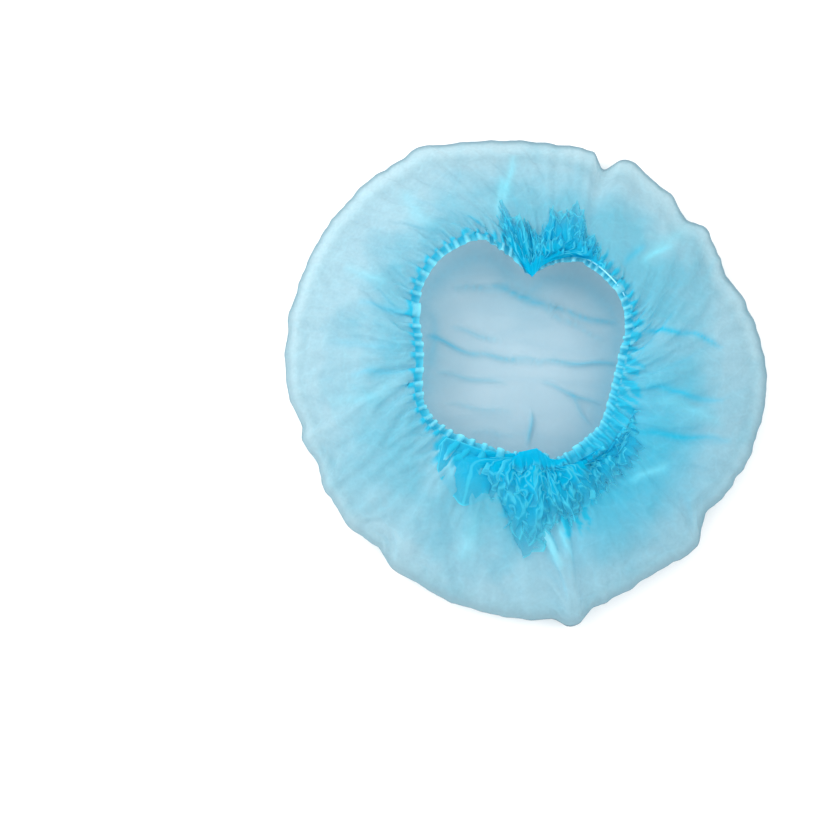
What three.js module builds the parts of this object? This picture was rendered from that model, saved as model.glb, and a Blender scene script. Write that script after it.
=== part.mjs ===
// Disposable hairnet of light non-woven cloth, lying open on a table with its head opening up.
// One pleated sheet makes the flat crown, the rolled outline and the puffed brim. The brim is
// gathered along two elastic threads, and its folded ends are bonded at the back and the front.
// Units are millimetres. +X is right, +Y the back and +Z up, and the crown lies on z = 0.
import * as THREE from 'three';
import { mergeVertices } from 'three/addons/utils/BufferGeometryUtils.js';

// Moves the middle of the finished outline's box onto the origin
const CENTRING = { x: 0.43, y: -0.46 };

// Cloth and clearances
const WALL = 1.8; // cloth wall, measured square to the smooth form under the gathers
const LAY_GAP = 0.95; // the same clearance that leaves 0.3 mm or more on the steep side of a gather
const ELASTIC_GAP = 0.35;

// Gathers: one gather is a crest and a valley, so two columns of the sheet
const GATHERS_PER_SIDE = 34;
const SIDE_COLUMNS = 2 * GATHERS_PER_SIDE;
const COLUMNS = 2 * SIDE_COLUMNS;

// Section of the brim and of the rolled outline
const ROLL_HEIGHT = 11; // height of the widest point
const ROLL_DEPTH = 9; // how far the crown's floor edge lies inside the widest point
const ROLL_RISE = 18; // upward pull of the brim above the widest point
const PUFF_REACH = 0.4; // where the puff is fullest, as a share of the brim's width
const PUFF_RISE = 8; // height of that pull above the rim

// Elastic thread on the gathers' crests
const ELASTIC_WIDTH = 2.2;
const ELASTIC_THICK = 0.9;
const ELASTIC_LINE = 3.6; // distance from the frill's edge to the middle of the elastic
const ELASTIC_END = 0.15; // how far each elastic stops short of the bond, in columns

// Frill edge of the opening on the left side, from the back notch to the front notch
const BACK_NOTCH = { x: 2.5, y: 55, z: 33 };
const FRONT_NOTCH = { x: 3, y: -50, z: 32 };
const RIM_LEFT = [
  { x: -5, y: 63, z: 35 },
  { x: -14, y: 73, z: 37 },
  { x: -26, y: 79, z: 39 },
  { x: -41, y: 75, z: 39 },
  { x: -56, y: 64, z: 38 },
  { x: -65, y: 48, z: 36 },
  { x: -66, y: 28, z: 35 },
  { x: -63, y: 10, z: 36 },
  { x: -64, y: -18, z: 36 },
  { x: -58, y: -32, z: 35 },
  { x: -45, y: -40, z: 34 },
  { x: -27, y: -47, z: 34 },
  { x: -9, y: -52, z: 33 },
];
const RIM_RIGHT = [
  { x: 9, y: 62, z: 34 },
  { x: 22, y: 66, z: 36 },
  { x: 35, y: 63, z: 38 },
  { x: 47, y: 53, z: 38 },
  { x: 56, y: 41, z: 37 },
  { x: 59, y: 28, z: 35 },
  { x: 55, y: 10, z: 35 },
  { x: 48, y: -14, z: 36 },
  { x: 40, y: -37, z: 36 },
  { x: 24, y: -50, z: 34 },
  { x: 13, y: -57, z: 33 },
];

// Smooth reach of the outline from the centre, every 30 degrees from +X towards +Y
const REACH_STEP = 30;
const REACH = [148, 143.5, 152, 153.5, 161, 155, 148.5, 143, 145, 149.5, 144, 142];

// Dents and points of the outline: place and half width in degrees, push in millimetres
const OUTLINE_FOLDS = [
  { at: 26, half: 6, push: -2.5 },
  { at: 39, half: 6, push: 3 },
  { at: 46, half: 6, push: -3.5 },
  { at: 63, half: 5, push: 3 },
  { at: 69.5, half: 3.6, push: -8.5 },
  { at: 113, half: 6, push: 3 },
  { at: 192, half: 8, push: -3.5 },
  { at: 203, half: 8, push: -4 },
  { at: 220, half: 5, push: 1.5 },
  { at: 229, half: 7, push: -3.5 },
  { at: 280, half: 5.5, push: 8 },
  { at: 299, half: 6, push: -1.5 },
  { at: 312, half: 7, push: 4 },
  { at: 322, half: 8, push: -4.5 },
  { at: 338, half: 6, push: 1.5 },
];
const BACK_LEAN = 6; // degrees by which the folds lean round at the back notch
const FRONT_LEAN = 3.5;

// Long folds of the brim: place and half width in degrees, and how far each stands up
const BRIM_FOLDS = [
  { at: 17, half: 7, lift: -3 },
  { at: 33, half: 8, lift: 2.5 },
  { at: 69.5, half: 8, lift: -4 },
  { at: 93, half: 6, lift: 3 },
  { at: 128, half: 9, lift: 1.5 },
  { at: 156, half: 8, lift: -2 },
  { at: 200, half: 9, lift: -2.5 },
  { at: 226, half: 8, lift: 2 },
  { at: 262, half: 7, lift: -2.5 },
  { at: 280, half: 6, lift: 4 },
  { at: 300, half: 7, lift: -2.5 },
  { at: 313, half: 6, lift: 3 },
  { at: 340, half: 8, lift: -1.5 },
];

// Rows of the brim from the frill to the widest point: place along the section from 0 to 1,
// height of the gathers' zigzag, share of the long folds, and height of the soft swell
const BRIM_ROWS = [
  { along: 0.0, gather: 3.5, fold: 0.1, swell: 0.3 },
  { along: 0.034, gather: 3.0, fold: 0.1, swell: 0.3 },
  { along: 0.068, gather: 3.3, fold: 0.15, swell: 0.3 },
  { along: 0.115, gather: 2.9, fold: 0.25, swell: 0.5 },
  { along: 0.175, gather: 2.2, fold: 0.4, swell: 0.9 },
  { along: 0.25, gather: 1.6, fold: 0.6, swell: 1.3 },
  { along: 0.34, gather: 1.1, fold: 0.85, swell: 1.5 },
  { along: 0.45, gather: 0.8, fold: 1.0, swell: 1.6 },
  { along: 0.58, gather: 0.7, fold: 1.0, swell: 1.4 },
  { along: 0.73, gather: 0.6, fold: 0.8, swell: 1.0 },
  { along: 0.88, gather: 0.5, fold: 0.4, swell: 0.5 },
  { along: 1.0, gather: 0.4, fold: 0.0, swell: 0.0 },
];
const ROLL_TURNS = [45, 90]; // degrees down the roll from the widest point to the floor
const SWELL_WAVES = [
  { waves: 9, share: 0.5, phase: 0.4 },
  { waves: 14, share: 0.35, phase: 2.1 },
  { waves: 23, share: 0.15, phase: 4.4 },
];

// Crown rings inside the floor edge: share of the reach, and the height of their low creases
const CROWN_RINGS = [
  { share: 0.8, crease: 1.6 },
  { share: 0.56, crease: 0.9 },
  { share: 0.34, crease: 0 },
];
const CROWN_CREASES = 7;

// Bonded ends: the pleats that fan out from each notch over the brim. Left and right are the
// columns that an end takes in on each side of its notch, reach is how far it runs down the brim
const BACK_END = { notch: 0, left: 6, right: 10, reach: 0.43 };
const FRONT_END = { notch: SIDE_COLUMNS, left: 14, right: 13, reach: 0.46 };
const END_START = 0.068; // place along the section where the pleats begin, outside the elastic
const END_STEPS = 5;
const END_TRIM = 0.55; // share of the reach that the pleats lose towards their two sides
const END_WALL = 1.9; // wall, measured as the sheet's
const END_CREST = 2.6; // extra height of a pleat's crest beside the bond
const END_GATHER = 0.3; // share by which the sheet's own gathers grow beside a notch
const END_SPREAD = 12; // columns over which that growth fades
const BOND_HALF_COLUMNS = 2;
const BOND_RISE = 1.6; // flat bonded bar over the innermost pleats

const radians = THREE.MathUtils.degToRad;
const { lerp, smoothstep, euclideanModulo } = THREE.MathUtils;

// Frill edge, one curve for each side
function rimSide(rows) {
  const stations = [BACK_NOTCH, ...rows, FRONT_NOTCH];
  return new THREE.CatmullRomCurve3(stations.map((s) => new THREE.Vector3(s.x, s.y, s.z)));
}
const rimLeft = rimSide(RIM_LEFT);
const rimRight = rimSide(RIM_RIGHT);

// Column 0 is the back notch; columns run over the left side to the front notch and return
function rimPoint(column) {
  const place = euclideanModulo(column, COLUMNS) / SIDE_COLUMNS;
  return place <= 1 ? rimLeft.getPointAt(place) : rimRight.getPointAt(2 - place);
}

// Raised-cosine bump of height 1 at a place on the full circle
function bump(degrees, at, half) {
  const away = Math.abs(euclideanModulo(degrees - at + 180, 360) - 180);
  return away < half ? 0.5 + 0.5 * Math.cos((Math.PI * away) / half) : 0;
}

// Outline's reach at an angle: a smooth curve through REACH with the folds pushed in or out
function reachAt(degrees) {
  const place = euclideanModulo(degrees, 360) / REACH_STEP;
  const first = Math.floor(place);
  const part = place - first;
  const at = (step) => REACH[(first + step + REACH.length) % REACH.length];
  const slopeIn = (at(1) - at(-1)) / 2;
  const slopeOut = (at(2) - at(0)) / 2;
  const squared = part * part;
  const cubed = squared * part;
  const smooth = (2 * cubed - 3 * squared + 1) * at(0) + (cubed - 2 * squared + part) * slopeIn
    + (3 * squared - 2 * cubed) * at(1) + (cubed - squared) * slopeOut;
  return OUTLINE_FOLDS.reduce((sum, f) => sum + f.push * bump(degrees, f.at, f.half), smooth);
}

// Angle at which a column meets the outline
function outlineAngle(column) {
  const rim = rimPoint(column);
  const turn = (2 * Math.PI * column) / COLUMNS;
  const lean = lerp(FRONT_LEAN, BACK_LEAN, 0.5 + 0.5 * Math.cos(turn));
  return THREE.MathUtils.radToDeg(Math.atan2(rim.y, rim.x)) + lean;
}

// Smooth form of the brim, without gathers, at any column and place along the section
function brimForm(column, along) {
  const rim = rimPoint(column);
  const angle = outlineAngle(column);
  const reach = reachAt(angle);
  const rest = 1 - along;
  const pull = [rest ** 3, 3 * rest * rest * along, 3 * rest * along * along, along ** 3];
  const out = pull[1] * PUFF_REACH + pull[2] + pull[3];
  const height = pull[0] * rim.z + pull[1] * (rim.z + PUFF_RISE)
    + pull[2] * (ROLL_HEIGHT + ROLL_RISE) + pull[3] * ROLL_HEIGHT;
  return new THREE.Vector3(
    lerp(rim.x, reach * Math.cos(radians(angle)), out),
    lerp(rim.y, reach * Math.sin(radians(angle)), out),
    height,
  );
}

// Outward normal of the smooth brim, from small steps along and across
function brimNormal(column, along) {
  const step = 0.01;
  const inner = brimForm(column, Math.max(along - step, 0));
  const outer = brimForm(column, Math.min(along + step, 1));
  const across = brimForm(column + 0.5, along).sub(brimForm(column - 0.5, along));
  return outer.sub(inner).cross(across).normalize();
}

// How close a column lies to a notch, from 1 at the notch to 0 where the pleats have spread
function nearNotch(column) {
  const away = Math.abs(euclideanModulo(column + SIDE_COLUMNS / 2, SIDE_COLUMNS) - SIDE_COLUMNS / 2);
  return 1 - smoothstep(away, BOND_HALF_COLUMNS, END_SPREAD);
}

// Brim row at any place along the section, between the two rows of the table around it
function rowAt(along) {
  const next = Math.max(1, BRIM_ROWS.findIndex((row) => row.along >= along));
  const [low, high] = [BRIM_ROWS[next - 1], BRIM_ROWS[next]];
  const part = (along - low.along) / (high.along - low.along);
  const mix = (key) => lerp(low[key], high[key], part);
  return { along, gather: mix('gather'), fold: mix('fold'), swell: mix('swell') };
}

const zigzag = (column) => (column % 2 === 0 ? 1 : -1);

// Relief of the sheet over its smooth form at a column and a brim row
function sheetRelief(column, row) {
  const angle = outlineAngle(column);
  const turn = (2 * Math.PI * column) / COLUMNS;
  const folds = BRIM_FOLDS.reduce((sum, f) => sum + f.lift * bump(angle, f.at, f.half), 0);
  const swell = SWELL_WAVES.reduce((sum, w) => sum + w.share * Math.cos(w.waves * turn + w.phase), 0);
  const gather = row.gather * (1 + END_GATHER * nearNotch(column));
  return gather * zigzag(column) + row.fold * folds + row.swell * swell;
}

// Two points of a wall, one on each face
function wallPair(point, normal, low, high) {
  return {
    inner: point.clone().addScaledVector(normal, low),
    outer: point.clone().addScaledVector(normal, high),
  };
}

// Closed wall from a grid of point pairs; around says that its columns close on themselves,
// and pole says that the last row is a single point
function wallGeometry(grid, { around = false, pole = false }) {
  const positions = [];
  const triangle = (a, b, c) => positions.push(...a.toArray(), ...b.toArray(), ...c.toArray());
  const quad = (a, b, c, d) => {
    triangle(a, b, c);
    triangle(a, c, d);
  };
  const rows = grid.length - 1;
  const width = grid[0].length;
  const spans = around ? width : width - 1;
  for (let row = 0; row < rows; row += 1) {
    for (let column = 0; column < spans; column += 1) {
      const near = grid[row][column];
      const nearNext = grid[row][(column + 1) % width];
      const far = grid[row + 1][column];
      const farNext = grid[row + 1][(column + 1) % width];
      quad(near.outer, far.outer, farNext.outer, nearNext.outer);
      quad(near.inner, nearNext.inner, farNext.inner, far.inner);
      if (row === 0) quad(near.outer, nearNext.outer, nearNext.inner, near.inner);
      if (row === rows - 1 && !pole) quad(far.outer, far.inner, farNext.inner, farNext.outer);
    }
    if (!around) {
      const start = [grid[row][0], grid[row + 1][0]];
      const end = [grid[row][width - 1], grid[row + 1][width - 1]];
      quad(start[0].outer, start[0].inner, start[1].inner, start[1].outer);
      quad(end[0].outer, end[1].outer, end[1].inner, end[0].inner);
    }
  }
  return closedGeometry(positions);
}

// Merges shared corners and leaves out triangles that have no area
function closedGeometry(positions) {
  const loose = new THREE.BufferGeometry();
  loose.setAttribute('position', new THREE.Float32BufferAttribute(positions, 3));
  const merged = mergeVertices(loose, 1e-3);
  const corners = merged.index.array;
  const kept = [];
  for (let i = 0; i < corners.length; i += 3) {
    const [a, b, c] = [corners[i], corners[i + 1], corners[i + 2]];
    if (a !== b && b !== c && c !== a) kept.push(a, b, c);
  }
  merged.setIndex(kept);
  merged.computeVertexNormals();
  return merged;
}

// Row of the cap sheet on the brim
function brimRow(row) {
  const pairs = [];
  for (let column = 0; column < COLUMNS; column += 1) {
    const relief = sheetRelief(column, row);
    const point = brimForm(column, row.along);
    const normal = brimNormal(column, row.along);
    pairs.push(wallPair(point, normal, relief - WALL / 2, relief + WALL / 2));
  }
  return pairs;
}

// Row of the cap sheet on the roll under the outline, at a turn down from the widest point
function rollRow(turn) {
  const drop = (ROLL_HEIGHT - WALL / 2) * Math.sin(radians(turn));
  const pairs = [];
  for (let column = 0; column < COLUMNS; column += 1) {
    const angle = radians(outlineAngle(column));
    const reach = reachAt(outlineAngle(column)) - ROLL_DEPTH * (1 - Math.cos(radians(turn)));
    const point = new THREE.Vector3(reach * Math.cos(angle), reach * Math.sin(angle), ROLL_HEIGHT - drop);
    const side = Math.cos(radians(turn));
    const normal = new THREE.Vector3(side * Math.cos(angle), side * Math.sin(angle), -Math.sin(radians(turn)));
    pairs.push(wallPair(point, normal, -WALL / 2, WALL / 2));
  }
  return pairs;
}

// Row of the cap sheet on the crown, with low creases that run in from the floor edge
function crownRow({ share, crease }) {
  const down = new THREE.Vector3(0, 0, -1);
  const pairs = [];
  for (let column = 0; column < COLUMNS; column += 1) {
    const degrees = outlineAngle(column);
    const angle = radians(degrees);
    const reach = (reachAt(degrees) - ROLL_DEPTH) * share;
    const lift = crease * Math.max(0, Math.cos(CROWN_CREASES * angle + 1)) ** 2;
    const point = new THREE.Vector3(reach * Math.cos(angle), reach * Math.sin(angle), WALL / 2 + lift);
    pairs.push(wallPair(point, down, -WALL / 2, WALL / 2));
  }
  return pairs;
}

// Crown, rolled outline and brim: one continuous sheet with a single opening
function capSheet() {
  const centre = { share: 0, crease: 0 };
  const grid = [
    ...BRIM_ROWS.map(brimRow),
    ...ROLL_TURNS.map(rollRow),
    ...[...CROWN_RINGS, centre].map(crownRow),
  ];
  return wallGeometry(grid, { around: true, pole: true });
}

// Flat elastic thread on the crests, from one notch to the other
function elasticSide(firstColumn) {
  const crest = BRIM_ROWS[0].gather * (1 + END_GATHER) + WALL / 2 + BRIM_ROWS[0].swell;
  const low = crest + ELASTIC_GAP;
  const columns = [];
  for (let step = 0; step <= SIDE_COLUMNS; step += 1) {
    const kept = Math.min(Math.max(step, ELASTIC_END), SIDE_COLUMNS - ELASTIC_END);
    columns.push(firstColumn + kept);
  }
  const edges = [ELASTIC_LINE - ELASTIC_WIDTH / 2, ELASTIC_LINE + ELASTIC_WIDTH / 2];
  const grid = edges.map((distance) => columns.map((column) => {
    const width = brimForm(column, 1).distanceTo(rimPoint(column));
    const along = distance / (3 * PUFF_REACH * width);
    return wallPair(brimForm(column, along), brimNormal(column, along), low, low + ELASTIC_THICK);
  }));
  return wallGeometry(grid, {});
}

// Pleats that fan out from a bonded end, laid on the gathers of the sheet
function bondedEnd({ notch, left, right, reach }) {
  const side = notch === 0 ? 1 : -1; // the left side lies at rising columns from the back notch
  const pleats = [];
  for (let offset = -right; offset <= left; offset += 1) pleats.push(offset);
  if (side < 0) pleats.reverse();
  const grid = [];
  for (let step = 0; step <= END_STEPS; step += 1) {
    const outward = step / END_STEPS;
    grid.push(pleats.map((offset) => {
      const column = euclideanModulo(notch + side * offset, COLUMNS);
      const sideways = Math.abs(offset) / (offset < 0 ? right : left);
      const row = rowAt(END_START + (reach - END_START) * (1 - END_TRIM * sideways ** 2) * outward);
      const fade = (1 - outward ** 2) * (1 - sideways ** 2);
      const bond = step < 2 && Math.abs(offset) <= BOND_HALF_COLUMNS ? BOND_RISE : 0;
      const low = sheetRelief(column, row) + WALL / 2 + LAY_GAP;
      const high = low + END_WALL + END_CREST * fade * (0.5 + 0.5 * zigzag(column)) + bond;
      return wallPair(brimForm(column, row.along), brimNormal(column, row.along), low, high);
    }));
  }
  return wallGeometry(grid, {});
}

function cloth(colour) {
  return new THREE.MeshStandardMaterial({
    color: colour, roughness: 0.85, metalness: 0, side: THREE.DoubleSide,
  });
}

function piece(name, geometry, material) {
  const mesh = new THREE.Mesh(geometry, material);
  mesh.name = name;
  return mesh;
}

const hairnet = new THREE.Group();
hairnet.position.set(CENTRING.x, CENTRING.y, 0);
const rubber = new THREE.MeshStandardMaterial({ color: 0xf2f6f7, roughness: 0.6, metalness: 0 });
hairnet.add(piece('cap_sheet', capSheet(), cloth(0xa9d9ec)));
hairnet.add(piece('elastic_left', elasticSide(0), rubber));
hairnet.add(piece('elastic_right', elasticSide(SIDE_COLUMNS), rubber));
hairnet.add(piece('bonded_end_back', bondedEnd(BACK_END), cloth(0x18b6e2)));
hairnet.add(piece('bonded_end_front', bondedEnd(FRONT_END), cloth(0x18b6e2)));

export default hairnet;
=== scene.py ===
"""Looks of a disposable hairnet: a pleated cap of light blue non-woven cloth that lies open.

The cap's cloth, its two elastic threads and its two bonded ends are built in millimetres around
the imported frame, and become meshes in metres.
"""

import logging
import math
from dataclasses import dataclass
from enum import Enum

import bpy
import numpy as np
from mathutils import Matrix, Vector


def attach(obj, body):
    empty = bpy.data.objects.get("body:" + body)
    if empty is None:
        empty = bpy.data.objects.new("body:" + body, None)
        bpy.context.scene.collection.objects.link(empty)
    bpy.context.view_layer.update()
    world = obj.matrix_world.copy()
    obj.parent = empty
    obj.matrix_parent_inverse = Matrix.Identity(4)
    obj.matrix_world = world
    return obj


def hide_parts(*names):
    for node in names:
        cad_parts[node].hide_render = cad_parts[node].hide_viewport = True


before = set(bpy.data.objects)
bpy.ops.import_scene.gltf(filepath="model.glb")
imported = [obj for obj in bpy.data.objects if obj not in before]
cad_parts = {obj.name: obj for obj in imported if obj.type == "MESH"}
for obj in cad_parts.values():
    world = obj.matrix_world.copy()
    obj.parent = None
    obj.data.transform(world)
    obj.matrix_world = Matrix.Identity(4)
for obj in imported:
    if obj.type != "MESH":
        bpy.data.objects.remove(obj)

LOG = logging.getLogger("hairnet")
BODY = "root"

# Metres in a millimetre, and the distance in metres under which corners are merged
MM = 0.001
WELD = 1e-6

# Height of the lying crown over the table, in millimetres
FLOOR_GAP = 1.0


class Side(Enum):
    """Side of the head opening that an elastic thread runs along."""

    LEFT = "left"
    RIGHT = "right"


class Notch(Enum):
    """Notch of the head opening, with its place round the cap from 0 to 1."""

    BACK = 0.0
    FRONT = 0.5


def smooth_noise(place: np.ndarray, cells: int, seed: int) -> np.ndarray:
    """Smooth random wave that closes on itself.

    Args:
        place: Places round the cap, from 0 to 1.
        cells: Number of random values round the cap.
        seed: Seed of the random values.

    Returns:
        Values from about -1 to 1, of the same shape as place.
    """
    values = np.random.default_rng(seed).uniform(-1.0, 1.0, cells)
    position = np.mod(place, 1.0) * cells
    first = np.floor(position).astype(int)
    part = position - first
    blend = part * part * (3.0 - 2.0 * part)
    return values[first % cells] * (1.0 - blend) + values[(first + 1) % cells] * blend


def corner_noise(place: np.ndarray, cells: int, seed: int) -> np.ndarray:
    """Random wave with a corner at each random value; it closes on itself.

    Args:
        place: Places round the cap, from 0 to 1.
        cells: Number of random values round the cap.
        seed: Seed of the random values.

    Returns:
        Values from -1 to 1, of the same shape as place.
    """
    values = np.random.default_rng(seed).uniform(-1.0, 1.0, cells)
    position = np.mod(place, 1.0) * cells
    first = np.floor(position).astype(int)
    return values[first % cells] + (values[(first + 1) % cells] - values[first % cells]) * (position - first)


def field_noise(x: np.ndarray, y: np.ndarray, cells: int, seed: int) -> np.ndarray:
    """Smooth random field over two places; x closes on itself and y doesn't.

    Args:
        x: Places from 0 to 1 that wrap round.
        y: Places of any size, with one random value to each unit.
        cells: Number of random values along x.
        seed: Seed of the random values.

    Returns:
        Values from about -1 to 1.
    """
    layers = 64
    values = np.random.default_rng(seed).uniform(-1.0, 1.0, (cells, layers))
    px = np.mod(x, 1.0) * cells
    py = np.mod(y, layers)
    ix, iy = np.floor(px).astype(int), np.floor(py).astype(int)
    tx, ty = px - ix, py - iy
    tx = tx * tx * (3.0 - 2.0 * tx)
    ty = ty * ty * (3.0 - 2.0 * ty)
    low = values[ix % cells, iy % layers] * (1 - tx) + values[(ix + 1) % cells, iy % layers] * tx
    high = (values[ix % cells, (iy + 1) % layers] * (1 - tx)
            + values[(ix + 1) % cells, (iy + 1) % layers] * tx)
    return low * (1 - ty) + high * ty


def ease(value: np.ndarray, low: float, high: float) -> np.ndarray:
    """Smooth step from one value to another.

    Args:
        value: Where on the step.
        low: Value at which the step starts to rise.
        high: Value at which it has risen.

    Returns:
        0 up to low and 1 from high.
    """
    part = np.clip((value - low) / (high - low), 0.0, 1.0)
    return part * part * (3.0 - 2.0 * part)


def bump(degrees: np.ndarray, at: float, half: float) -> np.ndarray:
    """Smooth bump of height 1 at a place on the full circle.

    Args:
        degrees: Where on the circle.
        at: Middle of the bump, in degrees.
        half: Half its width, in degrees.

    Returns:
        1 in the middle of the bump and 0 away from it.
    """
    away = np.abs(np.mod(degrees - at + 180.0, 360.0) - 180.0)
    return np.where(away < half, 0.5 + 0.5 * np.cos(np.pi * away / half), 0.0)


@dataclass(frozen=True)
class Fold:
    """Local fold at a place round the cap.

    Args:
        at: Place in degrees from +X towards +Y.
        half: Half width in degrees.
        height: How far it is pushed out or stands up, in millimetres.
    """

    at: float
    half: float
    height: float


@dataclass(frozen=True)
class Patch:
    """Part of the brim that looks or lies differently.

    Args:
        at: Its middle in degrees round the cap, from the back notch by the left side.
        half: Half its width, in degrees.
        start: Distance from the frill's edge at which it starts to change, in millimetres.
        full: Distance at which it has changed.
        share: How much changes.
    """

    at: float
    half: float
    start: float
    full: float
    share: float

    def strength(self, turn: np.ndarray) -> np.ndarray:
        """How much changes at places round the cap."""
        return self.share * bump(turn * 360.0, self.at, self.half)


@dataclass(frozen=True)
class Crease:
    """Straight ridge or furrow in the cloth.

    Args:
        start: One end, as plan x and y in millimetres.
        end: The other end.
        height: Height over the cloth around it; a furrow's is negative.
        half: Half its width, in millimetres.
    """

    start: tuple
    end: tuple
    height: float
    half: float

    def relief(self, x: np.ndarray, y: np.ndarray) -> np.ndarray:
        """Height that the crease adds.

        Args:
            x: Plan x of the places, in millimetres.
            y: Plan y of the places.

        Returns:
            The height at each place, in millimetres.
        """
        run = np.subtract(self.end, self.start)
        span = float(np.hypot(*run))
        along = ((x - self.start[0]) * run[0] + (y - self.start[1]) * run[1]) / span
        beyond = np.maximum(np.maximum(-along, along - span), 0.0)
        aside = ((x - self.start[0]) * run[1] - (y - self.start[1]) * run[0]) / span
        aside = aside + 0.5 * self.half * np.sin(along / (3.0 * self.half))
        taper = np.sin(np.pi * np.clip(along / span, 0.0, 1.0)) ** 0.5
        ridge = np.exp(-np.abs(aside / self.half) ** 1.5)
        return self.height * taper * ridge * np.exp(-(beyond / self.half) ** 2)


class Settler:
    """Relaxes a ring of cloth until its threads have the lengths that they were cut to."""

    # Share of a misfit that one round takes away along a thread and slantwise
    ALONG = 0.9
    SLANTWISE = 0.4

    # How near two points may come that lie two threads apart, as a share of the cloth between them
    UNBENT = 0.97

    def __init__(self, points: np.ndarray, free: np.ndarray) -> None:
        """Takes the cloth.

        Args:
            points: Rows by columns by three, in millimetres.
            free: How free each point is to move, from 0 to 1.
        """
        self.points = points.astype(np.float32)
        self.free = free.astype(np.float32)[..., None]

    def link(self, rows: int, columns: int, rest: np.ndarray, strength: float, push: bool = False) -> None:
        """Moves the ends of one family of links towards their rest lengths.

        Args:
            rows: Rows from one end of a link to the other.
            columns: Columns from one end to the other.
            rest: Rest length of each link, in millimetres.
            strength: Share of the misfit that one call takes away.
            push: True if the links only push their ends apart, as stiffness does.
        """
        last = len(self.points) - rows
        there = self.points[rows:]
        if columns:
            there = np.roll(there, -columns, axis=1)
        gap = there - self.points[:last]
        length = np.sqrt(np.einsum("ijk,ijk->ij", gap, gap))
        share = (1.0 - rest / np.maximum(length, 1e-6)) * (0.5 * strength)
        if push:
            share = np.minimum(share, 0.0)
        shift = gap * share[..., None]
        self.points[:last] += shift * self.free[:last]
        if columns:
            shift = np.roll(shift, columns, axis=1)
        self.points[rows:] -= shift * self.free[rows:]

    def run(self, across: np.ndarray, down: np.ndarray, home: np.ndarray, pull: np.ndarray,
            stiffness: float, rounds: int) -> np.ndarray:
        """Relaxes the cloth.

        Args:
            across: Rest length from each point to the next column.
            down: Rest length from each point to the next row.
            home: Points that the cloth is drawn back to.
            pull: Share of the way home in each round.
            stiffness: Strength against folding.
            rounds: Number of rounds.

        Returns:
            The settled points.
        """
        slant = np.sqrt(across[:-1] ** 2 + down ** 2)
        wide = across + np.roll(across, -1, axis=1)
        tall = down[:-1] + down[1:]
        for _ in range(rounds):
            self.link(0, 1, across, self.ALONG)
            self.link(1, 0, down, self.ALONG)
            self.link(1, 1, slant, self.SLANTWISE)
            self.link(1, -1, slant, self.SLANTWISE)
            self.link(0, 2, wide * self.UNBENT, stiffness, push=True)
            self.link(2, 0, tall * self.UNBENT, stiffness, push=True)
            self.points += (home - self.points) * (pull[..., None] * self.free)
            np.maximum(self.points[..., 2], FLOOR_GAP, out=self.points[..., 2])
        return self.points.astype(float)


def finer(values: np.ndarray) -> np.ndarray:
    """Fills in the values between the points of a ring grid.

    Args:
        values: Rows by columns of values or vectors.

    Returns:
        The values with twice the rows and columns.
    """
    ring = np.roll(values, -1, axis=1)
    wide = np.empty((values.shape[0], values.shape[1] * 2, *values.shape[2:]))
    wide[:, ::2] = values
    wide[:, 1::2] = (9.0 * (values + ring) - np.roll(values, 1, axis=1) - np.roll(values, -2, axis=1)) / 16.0
    tall = np.empty((values.shape[0] * 2 - 1, *wide.shape[1:]))
    tall[::2] = wide
    tall[1::2] = (wide[:-1] + wide[1:]) / 2.0
    return tall


@dataclass(frozen=True)
class Skin:
    """Smooth surface that cloth lies along.

    Args:
        normal: Outward direction at each point.
        across: Direction from each point to the next column.
    """

    normal: np.ndarray
    across: np.ndarray

    @classmethod
    def over(cls, points: np.ndarray) -> "Skin":
        """Finds the directions of a surface.

        Args:
            points: Rows by columns of a ring grid.

        Returns:
            The surface through the points.
        """
        down = np.gradient(points, axis=0)
        across = np.roll(points, -1, axis=1) - np.roll(points, 1, axis=1)
        return cls(unit(np.cross(down, across)), unit(across))


def unit(vectors: np.ndarray) -> np.ndarray:
    """Scales vectors to length 1.

    Args:
        vectors: Any array whose last axis is x, y and z.

    Returns:
        The scaled vectors; a zero vector becomes one that points up.
    """
    length = np.linalg.norm(vectors, axis=-1, keepdims=True)
    return np.where(length > 1e-9, vectors / np.maximum(length, 1e-9), np.array([0.0, 0.0, 1.0]))


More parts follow.
